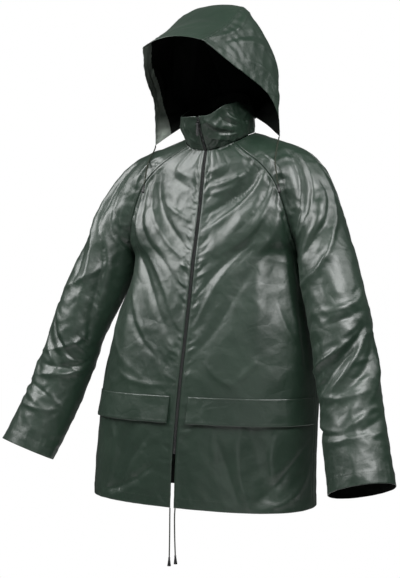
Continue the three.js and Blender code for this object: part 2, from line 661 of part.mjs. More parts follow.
// The pull tab: a round knuckle on the hinge's axis and a flat tab that hangs plumb from it
function pull() {
  const half = PULL.thick / 2;
  const neck = Math.acos(half / PULL.knuckle);
  const outline = new THREE.Shape();
  outline.absarc(0, 0, PULL.knuckle, -neck, Math.PI + neck);
  outline.lineTo(-half, half - PULL.tall);
  outline.absarc(0, half - PULL.tall, half, Math.PI, 2 * Math.PI);
  const options = { depth: PULL.wide, bevelEnabled: false, curveSegments: PULL.facets };
  const geometry = closed(new THREE.ExtrudeGeometry(outline, options));
  geometry.translate(0, 0, -PULL.wide / 2);
  geometry.applyMatrix4(new THREE.Matrix4().makeBasis(V(0, 1, 0), V(0, 0, 1), V(1, 0, 0)));
  const { p, lean } = sliderPlace();
  const reach = SLIDER.outer + PULL.gap + PULL.knuckle;
  const mesh = piece("zip_pull", geometry, BLACK_PLASTIC);
  mesh.position.copy(p).add(V(0, -Math.cos(lean) * reach, -Math.sin(lean) * reach));
  return mesh;
}

function cordCurve(points) {
  return new THREE.CatmullRomCurve3(points.map((p) => V(...p)));
}

function cord({ name, points }) {
  const curve = cordCurve(points);
  const section = new THREE.Shape();
  for (let i = 0; i < CORD_SIDES; i++) {
    const angle = (2 * Math.PI * i) / CORD_SIDES;
    const corner = [CORD_RADIUS * Math.cos(angle), CORD_RADIUS * Math.sin(angle)];
    if (i === 0) section.moveTo(...corner);
    else section.lineTo(...corner);
  }
  section.closePath();
  const count = Math.round(curve.getLength() / CORD_STEP);
  const options = { steps: count, bevelEnabled: false, extrudePath: curve };
  return piece(name, closed(new THREE.ExtrudeGeometry(section, options)), CORD_GREEN);
}

function cordEnd({ name, points }) {
  const curve = cordCurve(points);
  const tip = curve.getPoint(1);
  const along = curve.getTangent(1);
  const start = END.gap;
  const profile = [
    new THREE.Vector2(0, start),
    new THREE.Vector2(END.top, start),
    new THREE.Vector2(END.top, start + END.waist * END.tall),
    new THREE.Vector2(END.bottom, start + END.tall),
    new THREE.Vector2(0, start + END.tall),
  ];
  const geometry = closed(new THREE.LatheGeometry(profile, END.sides));
  const mesh = piece(name.replace("cord", "cord_end"), geometry, BLACK_PLASTIC);
  mesh.position.copy(tip);
  mesh.quaternion.setFromUnitVectors(V(0, 1, 0), along);
  return mesh;
}

const raincoat = new THREE.Group();
for (const [name, side] of [["right", -1], ["left", 1]]) {
  raincoat.add(piece("front_" + name, frontPanel(side, name), GREEN));
  raincoat.add(piece("sleeve_" + name, sleeve(side), GREEN));
  raincoat.add(piece("hood_side_" + name, hoodSide(side), GREEN));
  raincoat.add(piece("pocket_flap_" + name, flap(side, name), GREEN));
}
raincoat.add(piece("back", backPanel(), GREEN));
raincoat.add(piece("collar", collar(), GREEN));
raincoat.add(piece("hood_centre", hoodCentre(), GREEN));
const zipLine = frontLine();
const tapeRight = strip(zipLine, -TAPE.reach, -SEAM / 2, TAPE.inner, TAPE.outer);
const tapeLeft = strip(zipLine, SEAM / 2, TAPE.reach, TAPE.inner, TAPE.outer);
const coil = strip(zipLine, -COIL.half, COIL.half, COIL.inner, COIL.outer);
raincoat.add(piece("zip_tape_right", tapeRight, GREEN_DEEP));
raincoat.add(piece("zip_tape_left", tapeLeft, GREEN_DEEP));
raincoat.add(piece("zip_coil", coil, BLACK_PLASTIC));
raincoat.add(slider());
raincoat.add(pull());
for (const row of CORDS) {
  raincoat.add(cord(row));
  raincoat.add(cordEnd(row));
}

export default raincoat;
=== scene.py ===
"""The looks of a hooded raincoat, worn and empty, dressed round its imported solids.

Tables of the cut are in millimetres, and meshes are made in metres. +Z is up, the front faces -Y,
and the wearer's left is +X.
"""
import math
import bpy
import numpy as np
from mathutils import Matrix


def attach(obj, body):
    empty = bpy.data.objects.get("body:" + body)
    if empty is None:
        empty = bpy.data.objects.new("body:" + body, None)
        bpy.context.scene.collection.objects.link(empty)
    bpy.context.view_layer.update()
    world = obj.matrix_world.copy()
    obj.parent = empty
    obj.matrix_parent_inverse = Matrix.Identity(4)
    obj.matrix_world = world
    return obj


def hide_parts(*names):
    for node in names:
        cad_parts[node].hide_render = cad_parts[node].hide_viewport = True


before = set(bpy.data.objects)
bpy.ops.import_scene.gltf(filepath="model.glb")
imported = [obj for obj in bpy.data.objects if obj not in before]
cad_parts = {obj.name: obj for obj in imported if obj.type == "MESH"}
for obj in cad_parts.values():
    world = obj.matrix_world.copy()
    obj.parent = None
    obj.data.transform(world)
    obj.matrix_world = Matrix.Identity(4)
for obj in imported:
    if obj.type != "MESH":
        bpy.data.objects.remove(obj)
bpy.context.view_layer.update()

MM = 0.001
COAT = "coat"
SIDES = (("right", -1), ("left", 1))

# The photograph's camera: turned towards the wearer's left, level, seen from 2.5 m
VIEW_DEG = 28
VIEW_DISTANCE = 2.5
VIEW_HEIGHT = -0.353
VIEW_SHIFT = 0.0368
LENS_MM = 67.7
FLOOR_Z = -1.5
FLOOR_RADIUS = 1.6


def table(names, rows):
    """A table of stations: each named column as an array."""
    return dict(zip(names.split(), np.array(rows, float).T))


# The cut's surfaces, in millimetres: the same stations as the solids have
HEM_Z = -828
HEM_SWAY = 20
SWAY_TOP_Z = -285
CUFF_RISE = 14
RAGLAN_ROWS = 7
CLOTH = 1.2
SEAM = 0.6
START_SHARE = 0.4
RAGLAN_LEAD = 0.33
LEAD_SHARE = 0.62
SIDE_FULLNESS = 0.24
LEAD_TURN_FROM = 1.5
NECK = {"half": 82, "mid_y": 24, "depth": 74, "z": -6.5, "z1": 24, "z2": 9.5}
COLLAR_TOP = {"half": 75, "mid_y": -2, "depth": 89, "z": 66, "z1": 40, "z2": -6}
RAGLAN_FRONT_DEG = 47
RAGLAN_BACK_DEG = 133
COLLAR_SWELL = 5
COLLAR_SEAT_Z = 42
HOOD_SEAT_GAP = 1.05
# Smaller than in the solids, so that the hood's panels nearly touch at their seams
HOOD_TRIM = 0.05
SLEEVE = table("ax ay az mx my mz reach by bz", [
    (82, 20, 3, 60, 24, -6, 55, -61.6, -19.9),
    (135, 20, -14, 101, 20, -38, 65, -68, -15),
    (182, 18, -29, 138, 21, -72, 75, -70, -9),
    (225, 14, -51, 167, 21, -112, 88, -71, -5),
    (263, 8, -92, 186, 19, -157, 103, -70, -2),
    (290, 2, -140, 198, 16, -204, 122, -72, 2),
    (311, -9, -190, 204, 12, -247, 148, -74, 4),
    (329, -20, -238, 206, 8, -279, 180, -74, 6),
    (354, -36, -298, 224, -22, -342, 180, -72, 8),
    (392, -64, -412, 264, -66, -452, 180, -66, 9),
    (412, -80, -500, 282, -88, -528, 180, -62, 14),
    (431, -98, -578, 302, -108, -604, 180, -58, 20),
    (455, -130, -654, 323, -143, -688, 180, -55, 20),
    (478, -158, -724, 344, -172, -758, 180, -52, 18),
])
BODY = table("zip_y zip_z back_y back_z side_x side_y side_z", [
    (-50, -40, 98, 8, 60, 24, -6),
    (-60, -72, 113, -26, 101, 20, -38),
    (-67, -106, 126, -64, 138, 21, -72),
    (-74, -142, 134, -106, 167, 21, -112),
    (-82, -180, 139, -150, 186, 19, -157),
    (-92, -218, 142, -196, 198, 16, -204),
    (-102, -256, 143, -240, 204, 12, -247),
    (-110, -286, 142, -279, 206, 8, -279),
    (-121, -345, 138, -345, 217, 2, -345),
    (-138, -455, 128, -455, 248, -6, -455),
    (-151, -545, 120, -545, 262, -14, -545),
    (-160, -640, 114, -640, 266, -20, -640),
    (-167, -735, 110, -735, 268, -26, -735),
    (-170, -828, 108, -828, 270, -30, -828),
])
HOOD_CENTRE = table("x y z cy cz", [
    (74, -203, 170, -215, 184),
    (80, -100, 224, -104, 240),
    (72, 4, 286, 6, 300),
    (62, 88, 216, 99, 226),
    (55, 134, 140, 146, 142),
    (50, 142, 80, 152, 78),
    (50, 134, 67, 143, 64),
    (49, 121, 56, 130, 53),
    (47, 106, 48, 113, 46),
])
HOOD_BACK_STATION = 5
HOOD_SIDE = [
    [(112, -130, 126), (143, -40, 84), (158, -6, 38)],
    [(116, -66, 188), (142, -8, 128), (151, 18, 66)],
    [(104, 18, 240), (133, 40, 168), (130, 46, 94)],
    [(86, 76, 184), (108, 78, 136), (106, 78, 86)],
    [(70, 120, 122), (84, 108, 98), (84, 96, 70)],
]
HOOD_CORNER = (160, -2, -13)
HOOD_LOWER = (122, 18, 17)
HOOD_SEATS_DEG = (105, 120, 135, 148)
HOOD_SIDE_ROWS = 8


def vec(x, y, z):
    return np.stack(np.broadcast_arrays(x, y, z), -1).astype(float)


def length_of(v):
    return np.linalg.norm(v, axis=-1, keepdims=True)


def smooth(x, low, high):
    share = np.clip((np.asarray(x, float) - low) / (high - low), 0, 1)
    return share * share * (3 - 2 * share)


def hermite(p, a, b, q, f):
    """A Catmull-Rom curve between a and b."""
    start = 0.5 * (b - p)
    end = 0.5 * (q - a)
    rise = b - a
    return a + f * (start + f * ((3 * rise - 2 * start - end) + f * (start + end - 2 * rise)))


def around(at, last):
    """The four neighbours of fractional places in a row of points, and the share past the second."""
    at = np.asarray(at, float)
    i = np.clip(np.floor(at).astype(int), 0, last - 1)
    return (np.maximum(i - 1, 0), i, i + 1, np.minimum(i + 2, last)), at - i


def stations(rows, r):
    """A table's columns at fractional stations."""
    near, f = around(r, len(next(iter(rows.values()))) - 1)
    return {name: hermite(*(column[k] for k in near), f) for name, column in rows.items()}


def ring_at(ring, degrees):
    angle = np.radians(degrees)
    height = ring["z"] - ring["z1"] * np.cos(angle) - ring["z2"] * np.cos(2 * angle)
    return vec(ring["half"] * np.sin(angle), ring["mid_y"] - ring["depth"] * np.cos(angle), height)


def sleeve_curve(r):
    s = stations(SLEEVE, r)
    reach = np.radians(np.clip(s["reach"], 1, 180))[..., None]
    apex = vec(s["ax"], s["ay"], s["az"])
    outward = (apex - vec(s["mx"], s["my"], s["mz"])) / (1 - np.cos(reach))
    return reach, apex - outward, outward, vec(0, s["by"], s["bz"])


def sleeve_surface(r, t):
    """The sleeve: t runs from the front seam over the outside to the back seam."""
    r, t = np.broadcast_arrays(np.asarray(r, float), np.asarray(t, float))
    reach, centre, outward, front = sleeve_curve(r)
    angle = reach * (1 - 2 * t[..., None])
    p = centre + outward * np.cos(angle) + front * np.sin(angle)
    neck = ring_at(NECK, RAGLAN_FRONT_DEG + t * (RAGLAN_BACK_DEG - RAGLAN_FRONT_DEG))
    share = np.clip(r, 0, 1)[..., None]
    return neck + (p - neck) * share


def sleeve_entry(r, side):
    reach, _, outward, front = sleeve_curve(r)
    angle = np.minimum(reach, math.pi / 2)
    along = outward * np.sin(angle) - side * front * np.cos(angle)
    return along / length_of(along)


def body_surface(r, t, side):
    """Half the body from the centre (t = 0) to the raglan or side seam: side 1 front, -1 back."""
    r, t = np.broadcast_arrays(np.asarray(r, float), np.asarray(t, float))
    s = stations(BODY, r)
    key = "zip" if side > 0 else "back"
    start = vec(0, s[key + "_y"], s[key + "_z"])
    on_sleeve = (r < RAGLAN_ROWS)[..., None]
    seam = sleeve_surface(np.minimum(r, RAGLAN_ROWS), np.full_like(r, 0 if side > 0 else 1))
    end = np.where(on_sleeve, seam, vec(s["side_x"], s["side_y"], s["side_z"]))
    span = length_of(end - start)
    lead_share = (LEAD_SHARE + SIDE_FULLNESS * smooth(r, RAGLAN_ROWS, RAGLAN_ROWS + 2))[..., None]
    turn = smooth(r, LEAD_TURN_FROM, RAGLAN_ROWS)[..., None]
    entry = sleeve_entry(np.minimum(r, RAGLAN_ROWS), side)
    entry = entry + (np.array([0.0, side, 0.0]) - entry) * turn
    entry = entry / length_of(entry)
    drop = np.abs(start[..., 1:2] - end[..., 1:2])
    reach = RAGLAN_LEAD * span + (lead_share * drop - RAGLAN_LEAD * span) * turn
    below = end + lead_share * vec(0, start[..., 1] - end[..., 1], 0)
    lead = np.where(on_sleeve, end - entry * reach, below)
    first = start + span * np.array([START_SHARE, 0, 0])
    u = t[..., None]
    p = (1 - u) ** 3 * start + 3 * u * (1 - u) ** 2 * first + 3 * u * u * (1 - u) * lead + u ** 3 * end
    degrees = t * RAGLAN_FRONT_DEG if side > 0 else 180 - t * (180 - RAGLAN_BACK_DEG)
    neck = ring_at(NECK, degrees)
    return neck + (p - neck) * np.clip(r, 0, 1)[..., None]


def sway(p):
    share = smooth(-p[..., 2], -SWAY_TOP_Z, -HEM_Z)
    return p - vec(HEM_SWAY * share, 0, 0)


def cuff_drop(p, r, side):
    share = np.clip((r - RAGLAN_ROWS) / (len(SLEEVE["ax"]) - 1 - RAGLAN_ROWS), 0, 1)
    return p - vec(0, 0, side * CUFF_RISE * share * share)


def collar_surface(degrees, share):
    foot = ring_at(NECK, degrees) + np.array([0, 0, SEAM])
    head = ring_at(COLLAR_TOP, degrees)
    angle = np.radians(degrees)
    swell = COLLAR_SWELL * np.sin(math.pi * share)
    share = np.asarray(share)[..., None]
    return foot + (head - foot) * share + vec(np.sin(angle) * swell, -np.cos(angle) * swell, 0)


def collar_share_at(degrees, z):
    low = np.zeros(np.broadcast(degrees, z).shape)
    high = np.ones_like(low)
    for _ in range(16):
        middle = (low + high) / 2
        below = collar_surface(degrees, middle)[..., 2] < z
        low = np.where(below, middle, low)
        high = np.where(below, high, middle)
    return low


def off_collar(degrees, z, away):
    angle = np.radians(degrees)
    outward = vec(np.sin(angle) * away, -np.cos(angle) * away, 0)
    return collar_surface(degrees, collar_share_at(degrees, z)) + outward


def clear_of_collar(p, away):
    """Hood points, pushed out where they would lie in the collar."""
    share = np.clip((p[..., 2] - NECK["z"]) / (COLLAR_TOP["z"] - NECK["z"]), 0, 1)
    mid_y, half, depth = (NECK[k] + (COLLAR_TOP[k] - NECK[k]) * share for k in ("mid_y", "half", "depth"))
    angle = np.arctan2(p[..., 0] / half, (mid_y - p[..., 1]) / depth)
    degrees = np.degrees(angle)
    outward = vec(np.sin(angle), -np.cos(angle), 0)
    face = off_collar(degrees, p[..., 2], away)
    short = ((face - p) * outward).sum(-1, keepdims=True)
    beside = (p[..., 2] <= collar_surface(degrees, np.ones_like(share))[..., 2] + SEAM)[..., None]
    return np.where(beside & (short > 0), p + outward * short, p)


def hood_centre_rows():
    edge = off_collar(np.array(HOOD_SEATS_DEG[-1]), np.array(COLLAR_SEAT_Z), HOOD_SEAT_GAP)
    middle = off_collar(np.array(180.0), np.array(COLLAR_SEAT_Z), HOOD_SEAT_GAP)
    seat = {"x": edge[0], "y": edge[1], "z": edge[2], "cy": middle[1], "cz": middle[2]}
    return {name: np.append(column, seat[name]) for name, column in HOOD_CENTRE.items()}


def hood_centre_surface(r, u):
    s = stations(hood_centre_rows(), r)
    square = u * u
    return vec(s["x"] * u, s["cy"] + (s["y"] - s["cy"]) * square, s["cz"] + (s["z"] - s["cz"]) * square)


def through(points, share):
    """A Catmull-Rom curve through points, at shares of its whole number of spans."""
    points = np.asarray(points, float)
    last = len(points) - 1
    near, f = around(np.asarray(share, float) * last, last)
    return hermite(*(points[k] for k in near), f[..., None])


def hood_side_surface(r, w):
    """The hood's side: r from the face opening to the back seam, w from the centre panel down."""
    rows = hood_centre_rows()
    seats = [off_collar(np.array(d), np.array(COLLAR_SEAT_Z), HOOD_SEAT_GAP) for d in HOOD_SEATS_DEG[:3]]
    ends = [HOOD_CORNER, HOOD_LOWER, *seats]
    curves = []
    for i, middle in enumerate(HOOD_SIDE):
        top = (rows["x"][i], rows["y"][i], rows["z"][i])
        curves.append(through([top, *middle, ends[i]], w))
    back = stations(rows, np.linspace(HOOD_BACK_STATION, len(rows["x"]) - 1, HOOD_SIDE_ROWS + 1))
    curves.append(through(np.stack([back["x"], back["y"], back["z"]], -1), w))
    curves = np.stack(curves).reshape(len(curves), -1, 3)
    near, f = around(r, len(curves) - 1)
    column = np.arange(f.size).reshape(f.shape)
    return hermite(*(curves[k, column] for k in near), f[..., None])


# Camera, light and floor


def look_from(obj, azimuth, distance, height):
    """Puts a lamp or camera round the coat, azimuth from -Y towards +X in degrees, aimed at its middle."""
    angle = math.radians(azimuth)
    obj.location = (distance * math.sin(angle), -distance * math.cos(angle), height)
    tilt = math.atan2(VIEW_HEIGHT - height, distance)
    obj.rotation_euler = (math.pi / 2 + tilt, 0, angle)


def make_camera():
    camera = bpy.data.objects.new("camera", bpy.data.cameras.new("camera"))
    bpy.context.scene.collection.objects.link(camera)
    camera.data.lens = LENS_MM
    look_from(camera, VIEW_DEG, VIEW_DISTANCE, VIEW_HEIGHT)
    angle = math.radians(VIEW_DEG)
    camera.location.x -= VIEW_SHIFT * math.cos(angle)
    camera.location.y -= VIEW_SHIFT * math.sin(angle)
    bpy.context.scene.camera = camera


# azimuth, distance, height, width, tall, watts
SOFTBOXES = {
    "softbox_left": (-50, 2.1, 1.25, 1.4, 1.4, 62),
    "softbox_front": (46, 2.2, 1.7, 1.8, 1.2, 90),
    "softbox_right": (100, 2.0, 1.4, 1.2, 1.4, 22),
    "softbox_low": (10, 3.2, -0.8, 2.4, 0.8, 6),
    "softbox_back": (200, 2.6, 0.0, 1.4, 1.6, 14),
}
WORLD_WHITE = 1.0
WORLD_FILL = 0.045


def make_lights():
    """Soft boxes, and a world that the camera sees as white and the coat as a dim grey."""
    for name, (azimuth, distance, height, width, tall, watts) in SOFTBOXES.items():
        lamp = bpy.data.lights.new(name, "AREA")
        lamp.shape = "RECTANGLE"
        lamp.size = width
        lamp.size_y = tall
        lamp.energy = watts
        box = bpy.data.objects.new(name, lamp)
        bpy.context.scene.collection.objects.link(box)
        look_from(box, azimuth, distance, height)
        box.visible_camera = False
    bpy.context.scene.view_settings.view_transform = "Standard"
    world = bpy.data.worlds.new("studio")
    bpy.context.scene.world = world
    world.use_nodes = True
    nodes, links = world.node_tree.nodes, world.node_tree.links
    nodes.clear()
    seen = nodes.new("ShaderNodeBackground")
    seen.inputs["Color"].default_value = (WORLD_WHITE, WORLD_WHITE, WORLD_WHITE, 1)
    fill = nodes.new("ShaderNodeBackground")
    fill.inputs["Color"].default_value = (WORLD_FILL, WORLD_FILL, WORLD_FILL, 1)
    ray = nodes.new("ShaderNodeLightPath")
    mix = nodes.new("ShaderNodeMixShader")
    out = nodes.new("ShaderNodeOutputWorld")
    links.new(ray.outputs["Is Camera Ray"], mix.inputs["Fac"])
    links.new(fill.outputs["Background"], mix.inputs[1])
    links.new(seen.outputs["Background"], mix.inputs[2])
    links.new(mix.outputs["Shader"], out.inputs["Surface"])


# Materials


def new_material(name, colour, roughness, **sockets):
    material = bpy.data.materials.new(name)
    material.use_nodes = True
    shader = material.node_tree.nodes["Principled BSDF"]
    shader.inputs["Base Color"].default_value = (*colour, 1)
    shader.inputs["Roughness"].default_value = roughness
    for socket, value in sockets.items():
        shader.inputs[socket.replace("_", " ")].default_value = value
    return material, material.node_tree.nodes, material.node_tree.links, shader


def add_node(nodes, kind, **inputs):
    node = nodes.new(kind)
    for name, value in inputs.items():
        node.inputs[name.replace("_", " ")].default_value = value
    return node


def noise(nodes, links, scale, detail):
    """Noise over the object's own metres."""
    place = nodes.new("ShaderNodeTexCoord")
    node = add_node(nodes, "ShaderNodeTexNoise", Scale=scale, Detail=detail)
    links.new(place.outputs["Object"], node.inputs["Vector"])
    return node


def chain_bumps(nodes, links, shader, heights):
    """Bump nodes in a chain, one for each height socket with its depth in metres."""
    below = None
    for socket, depth in heights:
        bump = add_node(nodes, "ShaderNodeBump", Strength=1.0, Distance=depth)
        links.new(socket, bump.inputs["Height"])
        if below is not None:
            links.new(below.outputs["Normal"], bump.inputs["Normal"])
        below = bump
    links.new(below.outputs["Normal"], shader.inputs["Normal"])


def tint(nodes, links, shader, factor, dark, light):
    ramp = nodes.new("ShaderNodeValToRGB")
    ramp.color_ramp.elements[0].color = (*dark, 1)
    ramp.color_ramp.elements[1].color = (*light, 1)
    ramp.color_ramp.elements[0].position = 0.3
    ramp.color_ramp.elements[1].position = 0.7
    links.new(factor, ramp.inputs["Fac"])
    links.new(ramp.outputs["Color"], shader.inputs["Base Color"])


def weave_height(nodes, links, pitch):
    """Plain weave: warp and weft threads over the cloth's own metres."""
    uv = nodes.new("ShaderNodeUVMap")
    uv.uv_map = "cloth"
    heights = []
    for direction in ("X", "Y"):
        wave = add_node(nodes, "ShaderNodeTexWave", Scale=0.5 * math.pi / (pitch * 10), Distortion=0.0)
        wave.bands_direction = direction
        links.new(uv.outputs["UV"], wave.inputs["Vector"])
        heights.append(wave.outputs["Fac"])
    both = nodes.new("ShaderNodeMath")
    both.operation = "MAXIMUM"
    links.new(heights[0], both.inputs[0])
    links.new(heights[1], both.inputs[1])
    return both.outputs["Value"]


SHELL_DARK = (0.006, 0.021, 0.011)
SHELL_LIGHT = (0.011, 0.031, 0.017)
SHELL_ROUGHNESS = 0.43


def shell_material():
    """The coated taffeta: clouded green, creased like foil, with a thin gloss and a fine weave."""
    material, nodes, links, shader = new_material(
        "coated_taffeta", SHELL_DARK, SHELL_ROUGHNESS, Coat_Weight=0.14, Coat_Roughness=0.2, IOR=1.5,
        Specular_IOR_Level=0.8, Sheen_Weight=0.04, Sheen_Roughness=0.5)
    cloud = noise(nodes, links, 9.0, 4.0)
    tint(nodes, links, shader, cloud.outputs["Fac"], SHELL_DARK, SHELL_LIGHT)
    worn = nodes.new("ShaderNodeMapRange")
    worn.inputs["To Min"].default_value = SHELL_ROUGHNESS - 0.05
    worn.inputs["To Max"].default_value = SHELL_ROUGHNESS + 0.08
    links.new(cloud.outputs["Fac"], worn.inputs["Value"])
    links.new(worn.outputs["Result"], shader.inputs["Roughness"])
    warp = noise(nodes, links, 16.0, 2.0)
    place = nodes.new("ShaderNodeTexCoord")
    shifted = nodes.new("ShaderNodeVectorMath")
    shifted.operation = "MULTIPLY_ADD"
    shifted.inputs[1].default_value = (0.05, 0.05, 0.05)
    links.new(warp.outputs["Color"], shifted.inputs[0])
    links.new(place.outputs["Object"], shifted.inputs[2])
    facets = add_node(nodes, "ShaderNodeTexVoronoi", Scale=34.0)
    facets.feature = "SMOOTH_F1"
    links.new(shifted.outputs["Vector"], facets.inputs["Vector"])
    creases = add_node(nodes, "ShaderNodeTexVoronoi", Scale=15.0)
    creases.feature = "DISTANCE_TO_EDGE"
    links.new(shifted.outputs["Vector"], creases.inputs["Vector"])
    ridge = nodes.new("ShaderNodeMapRange")
    ridge.inputs["From Max"].default_value = 0.22
    links.new(creases.outputs["Distance"], ridge.inputs["Value"])
    ripples = noise(nodes, links, 70.0, 3.0)
    chain_bumps(nodes, links, shader, [
        (ridge.outputs["Result"], 0.0005),
        (facets.outputs["Distance"], 0.0004),
        (ripples.outputs["Fac"], 0.0006),
        (weave_height(nodes, links, 0.0007), 0.00003),
    ])
    return material


def grained_material(name, colour, roughness, scale, detail, dark, light, bump=0, **sockets):
    """A material with a clouded colour and, where bump is given, a grain of that depth in metres."""
    material, nodes, links, shader = new_material(name, colour, roughness, **sockets)
    grain = noise(nodes, links, scale, detail)
    tint(nodes, links, shader, grain.outputs["Fac"], dark, light)
    if bump:
        chain_bumps(nodes, links, shader, [(grain.outputs["Fac"], bump)])
    return material


def painted_shade_inside_material():
    """The cloth's inner face, less glossy than the outside, in a near-black colour that is painted shade:
    it stands in for the shade inside the hood.
    """
    return grained_material("painted_shade_inside", (0.003, 0.004, 0.003), 0.8, 60.0, 3.0,
                            (0.002, 0.003, 0.0025), (0.005, 0.006, 0.005), 0.0008, Specular_IOR_Level=0.12)


def painted_light_material():
    """A pale colour for the cloth's inner face near the face opening: painted light, standing in for light
    that falls on the inside of the hood there.
    """
    return grained_material("painted_light_inside", (0.11, 0.13, 0.11), 0.5, 26.0, 4.0,
                            (0.14, 0.17, 0.145), (0.42, 0.48, 0.42), 0.004)


def plastic_material():
    return grained_material("black_plastic", (0.012, 0.013, 0.013), 0.38, 400.0, 3.0,
                            (0.010, 0.011, 0.011), (0.017, 0.018, 0.018), 0.0002)


def floor_material():
    return grained_material("pale_floor", (0.78, 0.78, 0.77), 0.7, 3.0, 5.0,
                            (0.76, 0.76, 0.75), (0.80, 0.80, 0.79))


def woven_material(name, dark, light, roughness, pitch, depth):
    """Braid or tape: diagonal threads."""
    material, nodes, links, shader = new_material(name, dark, roughness)
    place = nodes.new("ShaderNodeTexCoord")
    heights = []
    for kind in ("BANDS", "RINGS"):
        wave = add_node(nodes, "ShaderNodeTexWave", Scale=0.5 * math.pi / (pitch * 10), Distortion=0.4)
        wave.wave_type = kind
        links.new(place.outputs["Object"], wave.inputs["Vector"])
        heights.append((wave.outputs["Fac"], depth))
    fuzz = noise(nodes, links, 900.0, 2.0)
    tint(nodes, links, shader, fuzz.outputs["Fac"], dark, light)
    chain_bumps(nodes, links, shader, [*heights, (fuzz.outputs["Fac"], depth)])
    return material


def make_floor():
    turns = 96
    rim = [(FLOOR_RADIUS * math.cos(a), FLOOR_RADIUS * math.sin(a), FLOOR_Z)
           for a in np.linspace(0, 2 * math.pi, turns, endpoint=False)]
    mesh = bpy.data.meshes.new("floor")
    mesh.from_pydata(rim, [], [list(range(turns))])
    floor = bpy.data.objects.new("floor", mesh)
    bpy.context.scene.collection.objects.link(floor)
    mesh.materials.append(floor_material())


# Folds, on a grid of surface points in millimetres


def grid_normals(grid, flip, wrap_from=None):
    """Outward normals of a grid of points. From row wrap_from on, the grid closes round its columns."""
    down = np.gradient(grid, axis=0)
    across = np.gradient(grid, axis=1)
    if wrap_from is not None:
        ring = (grid[wrap_from:, 1] - grid[wrap_from:, -2]) / 2
        across[wrap_from:, 0] = ring
        across[wrap_from:, -1] = ring
    normals = np.cross(down, across)
    normals /= np.maximum(length_of(normals), 1e-9)
    return -normals if flip else normals


def bent_path(at, ends, count=14):
    """Surface points on a smooth bend through three (station, share) points."""
    r0, t0, r1, t1, r2, t2 = ends
    s = np.linspace(0, 1, count)
    pull = 4 * s * (1 - s)
    r = r0 + (r2 - r0) * s + pull * (r1 - (r0 + r2) / 2)
    t = t0 + (t2 - t0) * s + pull * (t1 - (t0 + t2) / 2)
    return at(r, t)


def crease_rise(grid, normals, path, width, height, lean=0.0, crisp=1.5):
    """The rise of one ridge or trough along a path. lean makes its two flanks uneven, -0.8 to 0.8."""
    rise = np.zeros(grid.shape[:2])
    middle = path[len(path) // 2]
    reach = np.linalg.norm(path - middle, axis=1).max() + 3.2 * width
    near = np.linalg.norm(grid - middle, axis=2) < reach
    p = grid[near]
    if not len(p):
        return rise
    best = np.full(len(p), 1e9)
    along = np.zeros(len(p))
    signed = np.zeros(len(p))
    last = len(path) - 1
    for k in range(last):
        step = path[k + 1] - path[k]
        share = np.clip(((p - path[k]) @ step) / (step @ step), 0, 1)
        away = p - path[k] - share[:, None] * step
        gap = np.linalg.norm(away, axis=1)
        closer = gap < best
        beside = np.einsum("ij,ij->i", np.cross(np.broadcast_to(step, away.shape), away), normals[near])
        best = np.where(closer, gap, best)
        along = np.where(closer, (k + share) / last, along)
        signed = np.where(closer, np.sign(beside), signed)
    flank = width * (1 + lean * signed) * (0.65 + 0.35 * np.sin(math.pi * along))
    fade = np.sin(math.pi * np.clip(0.05 + 0.9 * along, 0, 1)) ** 0.8
    rise[near] = height * fade * np.exp(-((best / flank) ** crisp))
    return rise


def edge_gap(grid, wrap_from=None):
    """Each point's distance along its row to the nearer end, in millimetres."""
    step = np.linalg.norm(np.diff(grid, axis=1), axis=2)
    zero = np.zeros((len(grid), 1))
    first = np.concatenate([zero, np.cumsum(step, axis=1)], axis=1)
    last = first[:, -1:] - first
    gap = np.minimum(first, last)
    if wrap_from is not None:
        gap[wrap_from:] += 6.0 * np.arange(len(grid) - wrap_from)[:, None]
    return first, last, gap


def crumple(grid, size, seed, count=7):
    """A crushed-foil relief from -1 to 1: folded plane waves of about this size, warped a little."""
    rng = np.random.default_rng(seed)
    warp = np.zeros(grid.shape[:2])
    for _ in range(3):
        wave = rng.normal(size=3)
        wave *= 2 * math.pi / (2.6 * size) / np.linalg.norm(wave)
        warp += np.sin(grid @ wave + rng.uniform(0, 6.28))
    rise = np.zeros(grid.shape[:2])
    for _ in range(count):
        wave = rng.normal(size=3)
        wave *= math.pi / (size * rng.uniform(0.7, 1.6)) / np.linalg.norm(wave)
        phase = grid @ wave + rng.uniform(0, 6.28) + 0.9 * warp
        rise += 1 - 2 * np.abs(np.sin(phase))
    return rise / count * 1.6


def folded(grid, flip, at, main, creases, wrap_from=None, crushed=0.8, crush_size=46, seed=1, relief=None):
    """A grid with its main folds, its creases and a slight crush, in that order."""
    _, _, gap = edge_gap(grid, wrap_from)
    hold = smooth(gap, 1, 14)
    normals = grid_normals(grid, flip, wrap_from)
    rise = np.zeros(grid.shape[:2])
    for r0, t0, r1, t1, width, height in main:
        path = bent_path(at, (r0, t0, (r0 + r1) / 2, (t0 + t1) / 2, r1, t1))
        rise += crease_rise(grid, normals, path, width, height, crisp=2)
    grid = grid + normals * (rise * hold)[..., None]
    normals = grid_normals(grid, flip, wrap_from)
    base = grid
    rise = crushed * crumple(grid, crush_size, seed)
    for *ends, width, height, lean in creases:
        rise += crease_rise(base, normals, bent_path(at, ends), width, height, lean)
    rise = rise * smooth(gap, 0, 9)
    if relief is not None:
        rise = rise + relief
    return grid + normals * rise[..., None]


def puckers(rng, count, r_range, t_edge, reach, climb, width, height):
    """Short uneven creases that start at a seam: rows of (station, share) ends, width, height, lean."""
    rows = []
    places = np.sort(rng.uniform(*r_range, size=count))
    for k, r in enumerate(places):
        far = t_edge + reach * rng.uniform(0.45, 1.2)
        lift = climb * rng.uniform(0.5, 1.3)
        tall = height * rng.uniform(0.5, 1.2) * (1 if k % 2 else -0.8)
        rows.append((r, t_edge, r - 0.35 * lift, (t_edge + far) / 2, r - lift, far,
                     width * rng.uniform(0.7, 1.3), tall, rng.uniform(-0.4, 0.4)))
    return rows


def all_puckers(rng, rows):
    return [crease for row in rows for crease in puckers(rng, *row)]


# Meshes


